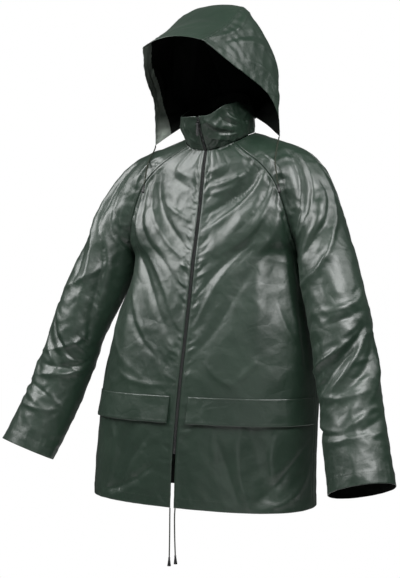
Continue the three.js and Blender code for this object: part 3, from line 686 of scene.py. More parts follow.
def mesh_of(name, points, faces):
    """A mesh from points in millimetres."""
    mesh = bpy.data.meshes.new(name)
    mesh.from_pydata((np.asarray(points) * MM).tolist(), [], faces)
    return mesh


def ring_faces(rings, sides):
    """Quads between rings of points that follow each other, and the two end faces."""
    faces = []
    for k in range(rings - 1):
        for j in range(sides):
            a = k * sides + j
            b = k * sides + (j + 1) % sides
            faces.append((a, b, b + sides, a + sides))
    faces.append(tuple(range(sides))[::-1])
    faces.append(tuple(range((rings - 1) * sides, rings * sides)))
    return faces


def link(name, mesh, materials, body=COAT, nodes=()):
    obj = bpy.data.objects.new(name, mesh)
    bpy.context.scene.collection.objects.link(obj)
    for material in materials:
        mesh.materials.append(material)
    for polygon in mesh.polygons:
        polygon.use_smooth = True
    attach(obj, body)
    if nodes:
        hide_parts(*nodes)
    return obj


def rim_faces(quads, count):
    """Faces from the outer face's open edges to the inner face, whose points follow count later."""
    edges = np.concatenate([quads[:, [k, (k + 1) % 4]] for k in range(4)])
    key = edges[:, 0] * count + edges[:, 1]
    back = edges[:, 1] * count + edges[:, 0]
    rim = edges[~np.isin(key, back)]
    return np.stack([rim[:, 0], rim[:, 0] + count, rim[:, 1] + count, rim[:, 1]], -1)


def lay_cloth(mesh, grid, used):
    """Texture coordinates in the cloth's own metres, across and down the grid."""
    first, _, _ = edge_gap(grid)
    middle = grid[:, grid.shape[1] // 2]
    down = np.concatenate([[0], np.cumsum(np.linalg.norm(np.diff(middle, axis=0), axis=1))])
    places = np.stack([first, np.broadcast_to(down[:, None], first.shape)], -1).reshape(-1, 2)[used] * MM
    corners = np.zeros(len(mesh.loops), int)
    mesh.loops.foreach_get("vertex_index", corners)
    mesh.uv_layers.new(name="cloth").data.foreach_set("uv", places[corners % len(used)].ravel())


def shell(name, grid, flip, materials, nodes, join_from=None, thick=1.0, painted_light_mask=None):
    """A thin closed shell on a grid of outer points: outer face, inner face and rim."""
    rows, columns = grid.shape[:2]
    index = np.arange(rows * columns).reshape(rows, columns)
    if join_from is not None:
        index[join_from:, -1] = index[join_from:, 0]
    used, flat = np.unique(index, return_inverse=True)
    index = flat.reshape(rows, columns)
    outer = grid.reshape(-1, 3)[used]
    inner = outer - thick * grid_normals(grid, flip, join_from).reshape(-1, 3)[used]
    quads = np.stack([index[:-1, :-1], index[1:, :-1], index[1:, 1:], index[:-1, 1:]], -1).reshape(-1, 4)
    if flip:
        quads = quads[:, ::-1]
    faces = np.concatenate([quads, quads[:, ::-1] + len(outer), rim_faces(quads, len(outer))])
    mesh = mesh_of(name, np.concatenate([outer, inner]), faces.tolist())
    lay_cloth(mesh, grid, used)
    inside = np.zeros(len(faces), int)
    # Inner faces take the second material, near black, which is painted shade; where the mask is set they
    # take the third, a pale colour that is painted light.
    inside[len(quads):2 * len(quads)] = 1 if painted_light_mask is None else 1 + painted_light_mask[:-1, :-1].reshape(-1)
    obj = link(name, mesh, materials, nodes=nodes)
    mesh.polygons.foreach_set("material_index", inside)
    mesh.update()
    return obj


def beside_edge(grid, side, distance, rows=slice(None)):
    """Points on a grid at a distance in from the first or the last column."""
    first, last, _ = edge_gap(grid)
    points = []
    for row, far in zip(grid[rows], (first if side == "first" else last)[rows]):
        order = slice(None) if side == "first" else slice(None, None, -1)
        points.append([np.interp(distance, far[order], row[order, k]) for k in range(3)])
    return np.array(points)


def even(points, pitch):
    """Points at an even pitch along a line, with their directions."""
    span = np.linalg.norm(np.diff(points, axis=0), axis=1)
    along = np.concatenate([[0], np.cumsum(span)])
    count = max(int(along[-1] / pitch), 2)
    at = (np.arange(count) + 0.5) * along[-1] / count
    places = np.stack([np.interp(at, along, points[:, k]) for k in range(3)], -1)
    ahead = np.stack([np.interp(at + 0.5, along, points[:, k]) for k in range(3)], -1)
    heading = ahead - places
    behind = np.linalg.norm(heading, axis=1) < 1e-9
    heading[behind] = heading[np.where(behind)[0] - 1]
    return places, heading / np.linalg.norm(heading, axis=1)[:, None]


STITCH = {"pitch": 4.0, "length": 2.9, "radius": 0.32, "sides": 6}


def spindles(name, places, headings, length, radius, material, nodes=()):
    """Short rods with tapered ends, one at each place, along its heading."""
    shares = np.array([-0.5, -0.3, 0.3, 0.5])
    fat = np.array([0.25, 1, 1, 0.25])
    sides = STITCH["sides"]
    angles = np.linspace(0, 2 * math.pi, sides, endpoint=False)
    u = np.cross(headings, [0.31, 0.52, 0.79])
    u /= length_of(u)
    v = np.cross(headings, u)
    ring = np.cos(angles)[None, :, None] * u[:, None] + np.sin(angles)[None, :, None] * v[:, None]
    points = (places[:, None, None] + headings[:, None, None] * (shares * length)[None, :, None, None]
              + ring[:, None] * (radius * fat)[None, :, None, None])
    start = np.arange(len(places))[:, None, None] * len(shares) * sides
    *quads, foot, head = ring_faces(len(shares), sides)
    faces = (start + np.array(quads)).reshape(-1, 4).tolist()
    faces += (start + np.array([foot, head])).reshape(-1, sides).tolist()
    return link(name, mesh_of(name, points.reshape(-1, 3), faces), [material], nodes=nodes)


def stitches(name, lines, material):
    """Lock stitches along lines, each a short spindle of thread that lies on the cloth."""
    runs = [even(line, STITCH["pitch"]) for line in lines]
    places = np.concatenate([places for places, _ in runs])
    headings = np.concatenate([headings for _, headings in runs])
    return spindles(name, places, headings, STITCH["length"], STITCH["radius"], material)


def sew(name, grid, places, thread, rows=slice(None)):
    """Rows of stitches beside a grid's edges: its first or last column, its top or its foot."""
    lines = []
    for side, distance in places:
        if side in ("top", "foot"):
            lines.append(beside_edge(turned(grid), "first" if side == "top" else "last", distance))
        else:
            lines.append(beside_edge(grid, side, distance, rows))
    return stitches(f"{name}_stitches", lines, thread)


def tube(points, radii, sides, twist):
    """Rings of points round a line, and the faces between them. twist(ring, angles) scales a radius."""
    points = np.asarray(points, float)
    tangents = np.gradient(points, axis=0)
    tangents /= length_of(tangents)
    u = np.cross(tangents[0], [1.0, 0.2, 0.1])
    rings = []
    angles = np.linspace(0, 2 * math.pi, sides, endpoint=False)
    for k, (p, d) in enumerate(zip(points, tangents)):
        u = u - d * (u @ d)
        u /= np.linalg.norm(u)
        v = np.cross(d, u)
        radius = radii[k] * twist(k, angles)
        rings.append(p + (np.cos(angles) * radius)[:, None] * u + (np.sin(angles) * radius)[:, None] * v)
    return np.concatenate(rings), ring_faces(len(points), sides)


# Folds of each panel, placed from the photograph: station and share at the start, middle and end,
# half-width and rise in millimetres, and lean

FRONT_MAIN = {
    "left": [
        (1.2, 0.95, 4.6, 0.1, 20, -7),
        (2.2, 0.95, 6.6, 0.12, 24, 7),
        (5.5, 0.55, 9.2, 0.5, 26, 5),
        (10.9, 0.45, 12.8, 0.62, 24, -8),
    ],
    "right": [
        (1.4, 0.9, 6.2, 0.12, 22, -4.6),
        (2.6, 0.85, 8.4, 0.14, 26, 5),
        (5.6, 0.7, 10, 0.45, 24, 6),
        (11, 0.3, 12.8, 0.5, 24, -7),
    ],
}
FRONT_CREASES = {
    "left": [
        (1.5, 0.95, 2.0, 0.55, 2.5, 0.12, 9, 5.0, 0.3),
        (2.1, 0.94, 3.0, 0.5, 4.3, 0.05, 8, -7.0, -0.3),
        (2.35, 0.95, 3.5, 0.5, 5.3, 0.06, 9, 5.5, 0.3),
        (2.75, 0.95, 4.2, 0.6, 5.5, 0.33, 9, -6.5, 0.2),
        (3.1, 0.95, 4.9, 0.6, 6.9, 0.2, 12, 5.0, -0.2),
        (3.9, 0.96, 5.9, 0.66, 8.5, 0.12, 16, 4.5, 0.3),
        (5.0, 0.62, 6.8, 0.34, 8.3, 0.05, 9, -3.5, 0.2),
        (6.2, 0.5, 7.7, 0.25, 8.9, 0.04, 8, 3.0, -0.3),
        (6.6, 0.62, 8.2, 0.34, 9.5, 0.05, 11, -3.5, 0.2),
        (1.0, 0.5, 1.35, 0.3, 1.6, 0.06, 7, 2.0, 0.0),
        (1.4, 0.5, 1.95, 0.25, 2.2, 0.06, 7, -1.8, 0.2),
        (2.3, 0.5, 2.75, 0.3, 3.0, 0.06, 6, 3.0, 0.2),
        (4.5, 0.95, 6.3, 0.9, 8.2, 0.93, 10, -4.0, 0.3),
        (5.4, 0.8, 7.6, 0.78, 9.4, 0.84, 13, 3.5, -0.2),
        (8.4, 0.66, 8.9, 0.72, 9.2, 0.79, 7, 2.6, 0.3),
        (9.5, 0.5, 9.9, 0.42, 10.1, 0.36, 7, 2.4, -0.3),
        (8.0, 0.92, 9.0, 0.86, 10.1, 0.9, 10, -3.2, 0.2),
        (9.6, 0.16, 10.0, 0.24, 10.2, 0.38, 8, 2.4, 0.2),
        (11.4, 0.26, 12.0, 0.33, 12.7, 0.42, 12, -5.6, 0.3),
        (11.2, 0.4, 12.2, 0.42, 12.9, 0.5, 14, 5.2, -0.2),
        (11.6, 0.88, 12.2, 0.7, 12.6, 0.54, 13, -6.2, 0.3),
        (12.0, 0.95, 12.5, 0.82, 12.8, 0.62, 11, 5.0, 0.0),
        (11.3, 0.64, 11.9, 0.62, 12.6, 0.68, 11, 4.4, 0.2),
    ],
    "right": [
        (1.2, 0.6, 1.6, 0.34, 2.0, 0.06, 7, 2.2, 0.2),
        (1.6, 0.62, 2.1, 0.36, 2.8, 0.06, 7, -2.0, 0.0),
        (1.9, 0.82, 3.7, 0.48, 6.0, 0.1, 10, -4.6, 0.3),
        (2.2, 0.9, 4.3, 0.52, 7.0, 0.1, 9, 3.8, -0.3),
        (2.5, 0.95, 5.0, 0.6, 8.0, 0.12, 9, -4.2, 0.3),
        (2.8, 0.96, 5.6, 0.66, 8.7, 0.1, 9, 4.5, -0.2),
        (3.3, 0.95, 6.0, 0.74, 9.0, 0.12, 9, -4.5, 0.2),
        (3.9, 0.95, 6.8, 0.8, 9.6, 0.16, 11, 4.5, 0.3),
        (6.6, 0.86, 8.2, 0.6, 9.8, 0.08, 11, -4.0, -0.3),
        (7.3, 0.95, 8.8, 0.74, 10.0, 0.3, 12, 3.0, 0.2),
        (8.0, 0.96, 9.2, 0.84, 10.2, 0.66, 12, -3.4, 0.0),
        (3.2, 0.5, 3.9, 0.28, 4.6, 0.06, 6, 3.0, 0.3),
        (9.9, 0.5, 10.15, 0.34, 10.2, 0.1, 7, 2.4, 0.2),
        (11.4, 0.2, 12.0, 0.32, 12.6, 0.4, 12, -5.2, 0.2),
        (11.3, 0.5, 12.0, 0.46, 12.8, 0.56, 13, 5.0, 0.0),
        (12.1, 0.16, 12.5, 0.34, 12.75, 0.56, 11, -4.8, 0.3),
    ],
}
BACK_MAIN = [
    (2, 0.12, 7, 0.36, 26, 6),
    (2, 0.88, 7, 0.64, 26, 6),
    (7.5, 0.06, 10.5, 0.3, 24, -6),
    (7.5, 0.94, 10.5, 0.7, 24, -6),
    (9, 0.46, 12.8, 0.42, 28, 5),
]
BACK_CREASES = [
    (1.8, 0.05, 3.6, 0.2, 6.0, 0.3, 11, -5.5, 0.3),
    (2.2, 0.06, 4.4, 0.18, 7.4, 0.22, 12, 5.0, -0.2),
    (1.7, 0.95, 3.3, 0.82, 5.6, 0.7, 11, -5.5, -0.3),
    (2.4, 0.94, 4.8, 0.83, 7.8, 0.8, 12, 4.6, 0.2),
    (1.2, 0.32, 1.9, 0.42, 2.2, 0.56, 11, 3.6, 0.2),
    (1.8, 0.68, 2.6, 0.58, 2.9, 0.44, 12, -3.4, 0.0),
    (4.0, 0.4, 6.0, 0.44, 8.6, 0.41, 15, -3.6, 0.2),
    (4.6, 0.6, 6.8, 0.56, 9.6, 0.6, 15, 3.6, -0.3),
    (6.4, 0.04, 7.6, 0.16, 8.6, 0.34, 11, 4.6, 0.3),
    (6.6, 0.97, 7.7, 0.86, 8.9, 0.66, 11, 4.6, -0.3),
    (7.2, 0.03, 8.6, 0.12, 10.0, 0.18, 12, -4.2, 0.2),
    (7.3, 0.97, 8.9, 0.87, 10.3, 0.84, 12, -4.2, -0.1),
    (8.6, 0.26, 9.5, 0.34, 10.4, 0.5, 13, 3.2, 0.2),
    (9.0, 0.7, 9.8, 0.6, 10.6, 0.52, 13, -3.2, 0.2),
    (10.4, 0.2, 11.6, 0.24, 12.8, 0.2, 15, 4.0, 0.3),
    (10.6, 0.8, 11.8, 0.76, 12.8, 0.81, 15, 4.0, -0.2),
    (11.0, 0.36, 12.0, 0.34, 12.9, 0.38, 14, -3.8, 0.2),
    (11.2, 0.62, 12.1, 0.66, 12.9, 0.63, 14, -3.8, 0.1),
]
SLEEVE_MAIN = [
    (2.6, 0.3, 6.6, 0.14, 17, -8),
    (4.6, 0.4, 8.4, 0.1, 20, 7),
    (8.9, 0.5, 10.6, 0.14, 18, -7),
    (9.4, 0.62, 11.6, 0.24, 18, 6),
    (8.8, 0.7, 10.8, 0.9, 20, -6),
    (5.4, 0.72, 7.6, 0.93, 20, 6),
]
SLEEVE_CREASES = {
    "left": [
        (1.6, 0.12, 3.0, 0.1, 4.6, 0.05, 8, 4.0, 0.3),
        (2.2, 0.3, 4.2, 0.2, 6.4, 0.03, 8, -7.5, -0.3),
        (2.6, 0.34, 4.6, 0.27, 6.9, 0.03, 8, 6.0, 0.3),
        (4.4, 0.37, 6.2, 0.34, 7.7, 0.12, 9, -7.0, 0.3),
        (4.8, 0.44, 6.6, 0.4, 8.1, 0.26, 9, 6.0, -0.3),
        (6.6, 0.38, 7.8, 0.3, 8.1, 0.06, 7, 5.0, 0.4),
        (7.0, 0.12, 7.6, 0.07, 8.0, 0.0, 6, -4.0, 0.0),
        (3.4, 0.46, 4.4, 0.44, 5.4, 0.47, 9, 3.4, 0.2),
        (8.45, 0.5, 8.75, 0.36, 8.7, 0.2, 7, 4.4, 0.3),
        (8.8, 0.5, 8.95, 0.36, 9.0, 0.24, 7, -3.6, 0.0),
        (8.95, 0.48, 9.65, 0.27, 10.1, 0.02, 7, 6.5, 0.3),
        (9.05, 0.46, 9.9, 0.28, 10.75, 0.12, 10, -6.5, 0.2),
        (9.1, 0.47, 10.0, 0.34, 10.8, 0.19, 7, 6.5, -0.3),
        (9.4, 0.49, 10.2, 0.4, 10.8, 0.27, 10, -5.5, -0.2),
        (9.8, 0.5, 10.5, 0.46, 11.2, 0.36, 9, 4.4, 0.2),
        (10.7, 0.1, 10.95, 0.24, 10.8, 0.4, 8, 3.6, 0.3),
        (11.1, 0.04, 11.5, 0.1, 11.7, 0.22, 7, 4.6, 0.3),
        (11.35, 0.0, 11.55, 0.08, 11.72, 0.2, 6, -4.4, 0.0),
        (11.2, 0.4, 11.5, 0.32, 11.7, 0.24, 8, 4.0, 0.2),
        (11.3, 0.5, 11.5, 0.42, 11.8, 0.32, 8, -3.6, 0.2),
        (11.75, 0.1, 11.9, 0.22, 11.8, 0.36, 7, 3.4, 0.2),
        (12.0, 0.24, 12.5, 0.26, 12.9, 0.24, 12, 2.4, 0.0),
        (2.0, 0.66, 4.2, 0.76, 6.4, 0.95, 9, -6.0, 0.3),
        (3.0, 0.6, 5.0, 0.7, 7.0, 0.93, 9, 5.6, -0.3),
        (5.2, 0.56, 6.6, 0.66, 7.8, 0.88, 10, -5.0, 0.2),
        (8.8, 0.54, 9.7, 0.72, 10.3, 0.95, 9, 5.4, 0.3),
        (9.2, 0.56, 10.1, 0.7, 10.9, 0.86, 10, -5.2, 0.0),
        (11.2, 0.95, 11.6, 0.8, 11.7, 0.64, 8, 3.8, 0.2),
    ],
    "right": [
        (1.2, 0.14, 2.2, 0.12, 3.4, 0.06, 8, 4.0, 0.3),
        (2.6, 0.3, 5.6, 0.28, 9.4, 0.08, 11, -9.0, 0.2),
        (3.0, 0.38, 5.6, 0.36, 8.6, 0.22, 10, 6.0, -0.2),
        (3.2, 0.2, 5.2, 0.19, 7.4, 0.05, 10, 4.6, 0.3),
        (4.6, 0.12, 6.0, 0.1, 7.2, 0.02, 8, -3.8, 0.0),
        (6.8, 0.44, 7.6, 0.34, 8.4, 0.3, 9, -4.4, 0.3),
        (7.6, 0.16, 8.2, 0.26, 8.5, 0.4, 9, 4.4, 0.3),
        (8.2, 0.44, 9.2, 0.34, 10.1, 0.12, 8, -7.0, 0.3),
        (8.5, 0.48, 9.5, 0.4, 10.5, 0.2, 8, 6.4, -0.3),
        (9.0, 0.5, 9.9, 0.44, 10.8, 0.3, 9, -5.6, 0.2),
        (9.2, 0.1, 9.8, 0.2, 10.1, 0.36, 8, 4.0, 0.3),
        (9.9, 0.02, 10.4, 0.14, 10.5, 0.3, 8, -4.6, 0.3),
        (10.3, 0.04, 10.7, 0.18, 10.9, 0.36, 8, 4.6, 0.0),
        (10.8, 0.4, 11.2, 0.3, 11.4, 0.14, 8, -4.2, 0.2),
        (11.0, 0.48, 11.4, 0.36, 11.7, 0.18, 8, 4.2, 0.2),
        (11.6, 0.1, 11.8, 0.24, 11.7, 0.4, 7, 3.2, 0.2),
        (12.1, 0.3, 12.5, 0.26, 12.9, 0.3, 12, -2.4, 0.0),
        (2.1, 0.7, 4.4, 0.77, 6.3, 0.95, 9, -6.0, 0.3),
        (3.2, 0.62, 5.1, 0.72, 6.9, 0.92, 9, 5.6, -0.3),
        (5.0, 0.55, 6.5, 0.64, 7.6, 0.86, 10, -5.0, 0.2),
        (8.7, 0.56, 9.6, 0.74, 10.2, 0.94, 9, 5.4, 0.3),
        (9.3, 0.54, 10.2, 0.7, 11.0, 0.84, 10, -5.2, 0.0),
    ],
}
# Collar: degrees round from the front, and share up
COLLAR_CREASES = [
    (10, 0.9, 26, 0.62, 52, 0.35, 6, 4.0, 0.3),
    (14, 0.62, 34, 0.4, 62, 0.22, 7, -4.0, 0.2),
    (38, 1.0, 44, 0.72, 60, 0.5, 6, -4.5, 0.3),
    (52, 1.0, 58, 0.74, 70, 0.5, 6, 4.5, -0.3),
    (66, 0.95, 72, 0.66, 92, 0.42, 6, -4.0, 0.0),
    (78, 0.98, 88, 0.7, 104, 0.36, 7, 4.0, 0.3),
    (8, 0.34, 26, 0.24, 44, 0.1, 5, 3.0, 0.2),
    (30, 0.32, 54, 0.22, 84, 0.18, 5, 3.4, 0.3),
    (48, 0.12, 68, 0.2, 96, 0.1, 5, -3.0, 0.2),
    (120, 0.9, 130, 0.5, 150, 0.2, 9, 3.0, 0.2),
    (170, 0.9, 178, 0.5, 196, 0.2, 10, -3.0, 0.2),
    (214, 0.88, 220, 0.5, 236, 0.2, 9, 3.0, 0.0),
    (262, 0.9, 270, 0.56, 286, 0.2, 8, -3.4, 0.3),
    (292, 0.95, 302, 0.6, 312, 0.3, 8, 3.4, 0.2),
    (324, 0.9, 334, 0.5, 346, 0.2, 6, -3.4, 0.2),
    (330, 0.34, 342, 0.24, 352, 0.16, 5, 2.8, 0.2),
]
HOOD_CREASES = {
    "left": [
        (0.3, 0.02, 1.2, 0.12, 2.2, 0.06, 7, 3.4, 0.3),
        (0.4, 0.1, 1.3, 0.24, 1.9, 0.44, 7, -3.2, 0.2),
        (0.8, 0.2, 1.5, 0.4, 1.8, 0.66, 8, 3.4, 0.3),
        (0.5, 0.3, 0.9, 0.5, 1.0, 0.76, 7, 3.0, -0.3),
        (1.9, 0.1, 2.3, 0.4, 2.2, 0.72, 9, -3.0, 0.2),
        (2.6, 0.06, 3.2, 0.4, 3.0, 0.8, 10, 3.4, 0.2),
        (3.6, 0.1, 4.0, 0.5, 3.8, 0.9, 10, -3.0, 0.0),
        (1.2, 0.74, 2.2, 0.82, 3.2, 0.76, 8, 3.0, 0.2),
    ],
    "right": [
        (0.3, 0.1, 0.5, 0.4, 0.7, 0.7, 7, 3.4, 0.3),
        (0.6, 0.3, 1.1, 0.5, 1.2, 0.8, 8, -3.2, 0.2),
        (1.4, 0.08, 1.9, 0.4, 1.9, 0.7, 9, 3.2, 0.2),
        (2.5, 0.08, 3.0, 0.44, 2.8, 0.84, 10, -3.2, 0.0),
        (3.5, 0.1, 4.0, 0.5, 3.9, 0.88, 10, 3.2, 0.3),
        (1.0, 0.76, 2.0, 0.84, 3.0, 0.78, 8, 2.8, 0.2),
    ],
}
HOOD_CENTRE_CREASES = [
    (1.2, -0.8, 2.2, -0.3, 2.6, 0.3, 13, 2.6, 0.2),
    (2.6, 0.8, 3.4, 0.3, 3.6, -0.5, 13, -2.8, 0.2),
    (4.2, -0.8, 4.8, -0.1, 4.9, 0.7, 11, 3.0, 0.3),
    (5.4, -0.7, 6.0, 0.0, 6.2, 0.7, 9, -3.0, 0.0),
    (0.3, -0.6, 0.8, 0.0, 0.9, 0.6, 12, 1.8, 0.0),
]


# Puckers along seams: count, stations from and to, share at the seam, reach, climb, width and height
FRONT_PUCKERS = [
    (34, (1.6, 7.0), 0.03, 0.1, 0.6, 3.0, 1.9),
    (32, (7.0, 10.1), 0.025, 0.09, 0.25, 3.6, 2.1),
    (12, (10.1, 12.9), 0.03, 0.07, 0.1, 4.0, 1.3),
    (16, (1.2, 6.8), 0.975, -0.09, -0.35, 4.5, 1.8),
]
BACK_PUCKERS = [
    (16, (1.2, 6.8), 0.015, 0.05, -0.35, 4.5, 1.8),
    (16, (1.2, 6.8), 0.985, -0.05, -0.35, 4.5, 1.8),
]
SLEEVE_PUCKERS = [
    (22, (1.0, 7.4), 0.02, 0.09, -0.3, 5, 2.2),
    (22, (1.0, 7.4), 0.98, -0.09, -0.3, 5, 2.2),
    (14, (8.4, 11.8), 0.06, 0.16, 0.25, 5, 2.4),
    (14, (8.4, 11.8), 0.46, -0.14, -0.25, 5, 2.2),
]
# Seeds of the random draws: a panel's puckers and its crush
FRONT_SEEDS = {"left": (11, 21), "right": (12, 22)}
SLEEVE_SEEDS = {"left": (41, 43), "right": (42, 44)}
BACK_SEEDS = (31, 32)
HOOD_SEEDS = {"left": 67, "right": 68}


# Seams, hems and stitching

NECK_TRIM = 0.012
# Nearer to the zip than the solids' fronts, so that less of the tape shows
FRONT_EDGE = 3.6
HEM_BAND = 22
CUFF_BAND = 25
BRIM_BAND = 20
SEAM_STITCH = 7
EDGE_STITCH = 6
# Ripples beside a row of stitches: reach, height and pitch
HEM_RIPPLE = (12, 1.3, 17)
SEAM_RIPPLE = (9, 1.0, 15)
BRIM_RIPPLE = (9, 0.9, 14)
HOOD_EDGE_RIPPLE = (10, 1.3, 14)
HOOD_SEAM_RIPPLE = (10, 1.1, 15)
NECK_RIPPLE = (16, 1.5, 13)
COLLAR_EDGE_RIPPLE = (8, 0.8, 14)
COLLAR_END_RIPPLE = (8, 1.0, 11)


def groove(gap, at, depth=0.4, width=1.1):
    return -depth * np.exp(-(((gap - at) / width) ** 2))


def band(gap, width, rise=0.7):
    """A turned hem: one more layer within a width of an edge, and its row of stitches."""
    return rise * (1 - smooth(gap, width, width + 2)) + groove(gap, width - 1)


def seam(gap):
    """A seam's valley, its turned allowance and its row of stitches."""
    return -0.7 * np.exp(-((gap / 1.3) ** 2)) + 0.5 * (1 - smooth(gap, 8, 10)) + groove(gap, SEAM_STITCH)


def ripple(gap, along, reach, height, pitch, seed):
    """Small uneven waves across a row of stitches, which fade away from it."""
    rng = np.random.default_rng(seed)
    wave = np.zeros_like(along)
    for _ in range(4):
        size = pitch * rng.uniform(0.6, 1.9)
        wave += 1 - 2 * np.abs(np.sin(math.pi * along / size + rng.uniform(0, 6.28) + gap / (2.5 * pitch)))
    swell = 0.6 + 0.4 * np.sin(2 * math.pi * along / (7.3 * pitch) + rng.uniform(0, 6.28))
    return height * swell * wave / 4 * np.exp(-np.abs(gap) / reach)


def column_gap(grid):
    """Each point's distance down its column from the first row and to the last, in millimetres."""
    step = np.linalg.norm(np.diff(grid, axis=0), axis=2)
    first = np.concatenate([np.zeros((1, grid.shape[1])), np.cumsum(step, axis=0)], axis=0)
    return first, first[-1:] - first


def mirror(p, side):
    return p * np.array([side, 1, 1])


def turned(grid):
    return grid.transpose(1, 0, 2)


def sample(grid, i, j):
    """A grid's points between its rows and columns."""
    i = np.clip(i, 0, grid.shape[0] - 1.001)
    j = np.clip(j, 0, grid.shape[1] - 1.001)
    a, b = i.astype(int), j.astype(int)
    f, g = (i - a)[..., None], (j - b)[..., None]
    top = grid[a, b] * (1 - g) + grid[a, b + 1] * g
    low = grid[a + 1, b] * (1 - g) + grid[a + 1, b + 1] * g
    return top * (1 - f) + low * f


# The pieces


SLEEVE_JOIN = 79
LAST_STATION = 13
LOWER_ROWS = np.linspace(RAGLAN_ROWS, LAST_STATION, 150)[1:]
BODY_ROWS = np.concatenate([np.linspace(NECK_TRIM, RAGLAN_ROWS, 72), LOWER_ROWS])
SLEEVE_ROWS = np.concatenate([np.linspace(NECK_TRIM, RAGLAN_ROWS, SLEEVE_JOIN + 1), LOWER_ROWS])
FRONT_COLUMNS = 86
BACK_COLUMNS = 150
SLEEVE_COLUMNS = 112


def front_surface(r, t):
    return body_surface(r, t, 1)


def front_creases(name):
    """The front's creases, the puckers at its seams and short gathers below the neck."""
    rng = np.random.default_rng(FRONT_SEEDS[name][0])
    rows = FRONT_CREASES[name] + all_puckers(rng, FRONT_PUCKERS)
    for t in np.linspace(0.08, 0.92, 15) + rng.uniform(-0.02, 0.02, 15):
        low = rng.uniform(0.7, 1.5)
        end = t + rng.uniform(-0.05, 0.05)
        rows.append((0.1, t, low / 2, t, low, end, 4.0, rng.uniform(-0.9, 0.9), 0.2))
    return rows


def front_grid(name):
    """The front panel before its stance."""
    r = BODY_ROWS[:, None]
    length = length_of(front_surface(BODY_ROWS, np.ones_like(BODY_ROWS))
                       - front_surface(BODY_ROWS, np.zeros_like(BODY_ROWS)))
    low, high = FRONT_EDGE / length, 1 - SEAM / 2 / length
    t = low + (high - low) * np.linspace(0, 1, FRONT_COLUMNS)
    grid = front_surface(r, t)
    first, last, _ = edge_gap(grid)
    down, up = column_gap(grid)
    relief = band(first, SEAM_STITCH + 1, 0.6) + seam(last) + band(up, HEM_BAND) + groove(down, 3, 0.8, 2)
    relief += ripple(up - HEM_BAND, first, *HEM_RIPPLE, 5)
    relief += ripple(first - SEAM_STITCH, down, 7, 1.0, 11, 6)
    relief += ripple(last - 2, down, *SEAM_RIPPLE, 7)
    return folded(grid, False, front_surface, FRONT_MAIN[name], front_creases(name), crushed=0.9,
                  crush_size=44, seed=FRONT_SEEDS[name][1], relief=relief)


FLAP = {"top": 10.45, "bottom": 11.06, "from": 22, "to": 12, "lift": 2.4, "flare": 3.5, "thick": 1.3}


def flap_grid(front):
    """The pocket flap: the front panel's points, moved out, with its own slight waves."""
    i = np.interp(np.linspace(FLAP["top"], FLAP["bottom"], 26), BODY_ROWS, np.arange(len(BODY_ROWS)))
    first, last, _ = edge_gap(front)
    columns = np.arange(FRONT_COLUMNS)
    start = np.array([np.interp(FLAP["from"] - FRONT_EDGE, first[int(k)], columns) for k in i])
    end = np.array([np.interp(-FLAP["to"], -last[int(k)], columns) for k in i])
    j = start[:, None] + (end - start)[:, None] * np.linspace(0, 1, 96)
    i = np.broadcast_to(i[:, None], j.shape)
    smoothed = sample(front, i, j)
    for _ in range(6):
        smoothed[1:-1] = (smoothed[:-2] + 2 * smoothed[1:-1] + smoothed[2:]) / 4
        smoothed[:, 1:-1] = (smoothed[:, :-2] + 2 * smoothed[:, 1:-1] + smoothed[:, 2:]) / 4
    normals = grid_normals(smoothed, False)
    down, up = column_gap(smoothed)
    along, _, _ = edge_gap(smoothed)
    away = FLAP["lift"] + FLAP["flare"] * smooth(down, 4, 60)
    away = away + ripple(up, along, 26, 1.1, 31, 8) + ripple(down - 4, along, 9, 0.8, 14, 9)
    away = away + groove(down, 2.5, 0.4) + groove(down, 8, 0.4) + 0.4 * (1 - smooth(up, 5, 6))
    return smoothed + normals * away[..., None]


def dress_fronts(cloth, thread):
    for name, side in SIDES:
        plain = front_grid(name)
        grid = sway(mirror(plain, side))
        panel = shell(f"front_{name}_cloth", grid, side < 0, cloth, [f"front_{name}"])
        edges = [("first", EDGE_STITCH), ("last", SEAM_STITCH), ("foot", HEM_BAND - 1)]
        sewn = sew(f"front_{name}", grid, edges, thread)
        flap = sway(mirror(flap_grid(plain), side))
        node = f"pocket_flap_{name}"
        lid = shell(f"{node}_cloth", flap, side < 0, cloth, [node], thick=FLAP["thick"])
        sewn = sew(node, flap, [("top", 2.5), ("top", 8), ("foot", 5.5)], thread)


def back_surface(r, t):
    p = body_surface(r, np.abs(1 - 2 * t), -1)
    return p * vec(np.where(np.asarray(t) < 0.5, 1, -1), 1, 1)


def dress_back(cloth, thread):
    r = BODY_ROWS[:, None]
    half = length_of(back_surface(BODY_ROWS, np.full_like(BODY_ROWS, 0.5))
                     - back_surface(BODY_ROWS, np.zeros_like(BODY_ROWS)))
    trim = SEAM / 4 / half
    grid = back_surface(*np.broadcast_arrays(r, trim + (1 - 2 * trim) * np.linspace(0, 1, BACK_COLUMNS)))
    first, _, gap = edge_gap(grid)
    down, up = column_gap(grid)
    relief = seam(gap) + band(up, HEM_BAND) + groove(down, 3, 0.8, 2)
    relief += ripple(up - HEM_BAND, first, *HEM_RIPPLE, 15) + ripple(gap - 2, down, *SEAM_RIPPLE, 16)
    pucker_seed, crush_seed = BACK_SEEDS
    creases = BACK_CREASES + all_puckers(np.random.default_rng(pucker_seed), BACK_PUCKERS)
    grid = sway(folded(grid, False, back_surface, BACK_MAIN, creases, crushed=0.9, crush_size=48,
                       seed=crush_seed, relief=relief))
    panel = shell("back_cloth", grid, False, cloth, ["back"])
    edges = [("first", SEAM_STITCH), ("last", SEAM_STITCH), ("foot", HEM_BAND - 1)]
    sewn = sew("back", grid, edges, thread)


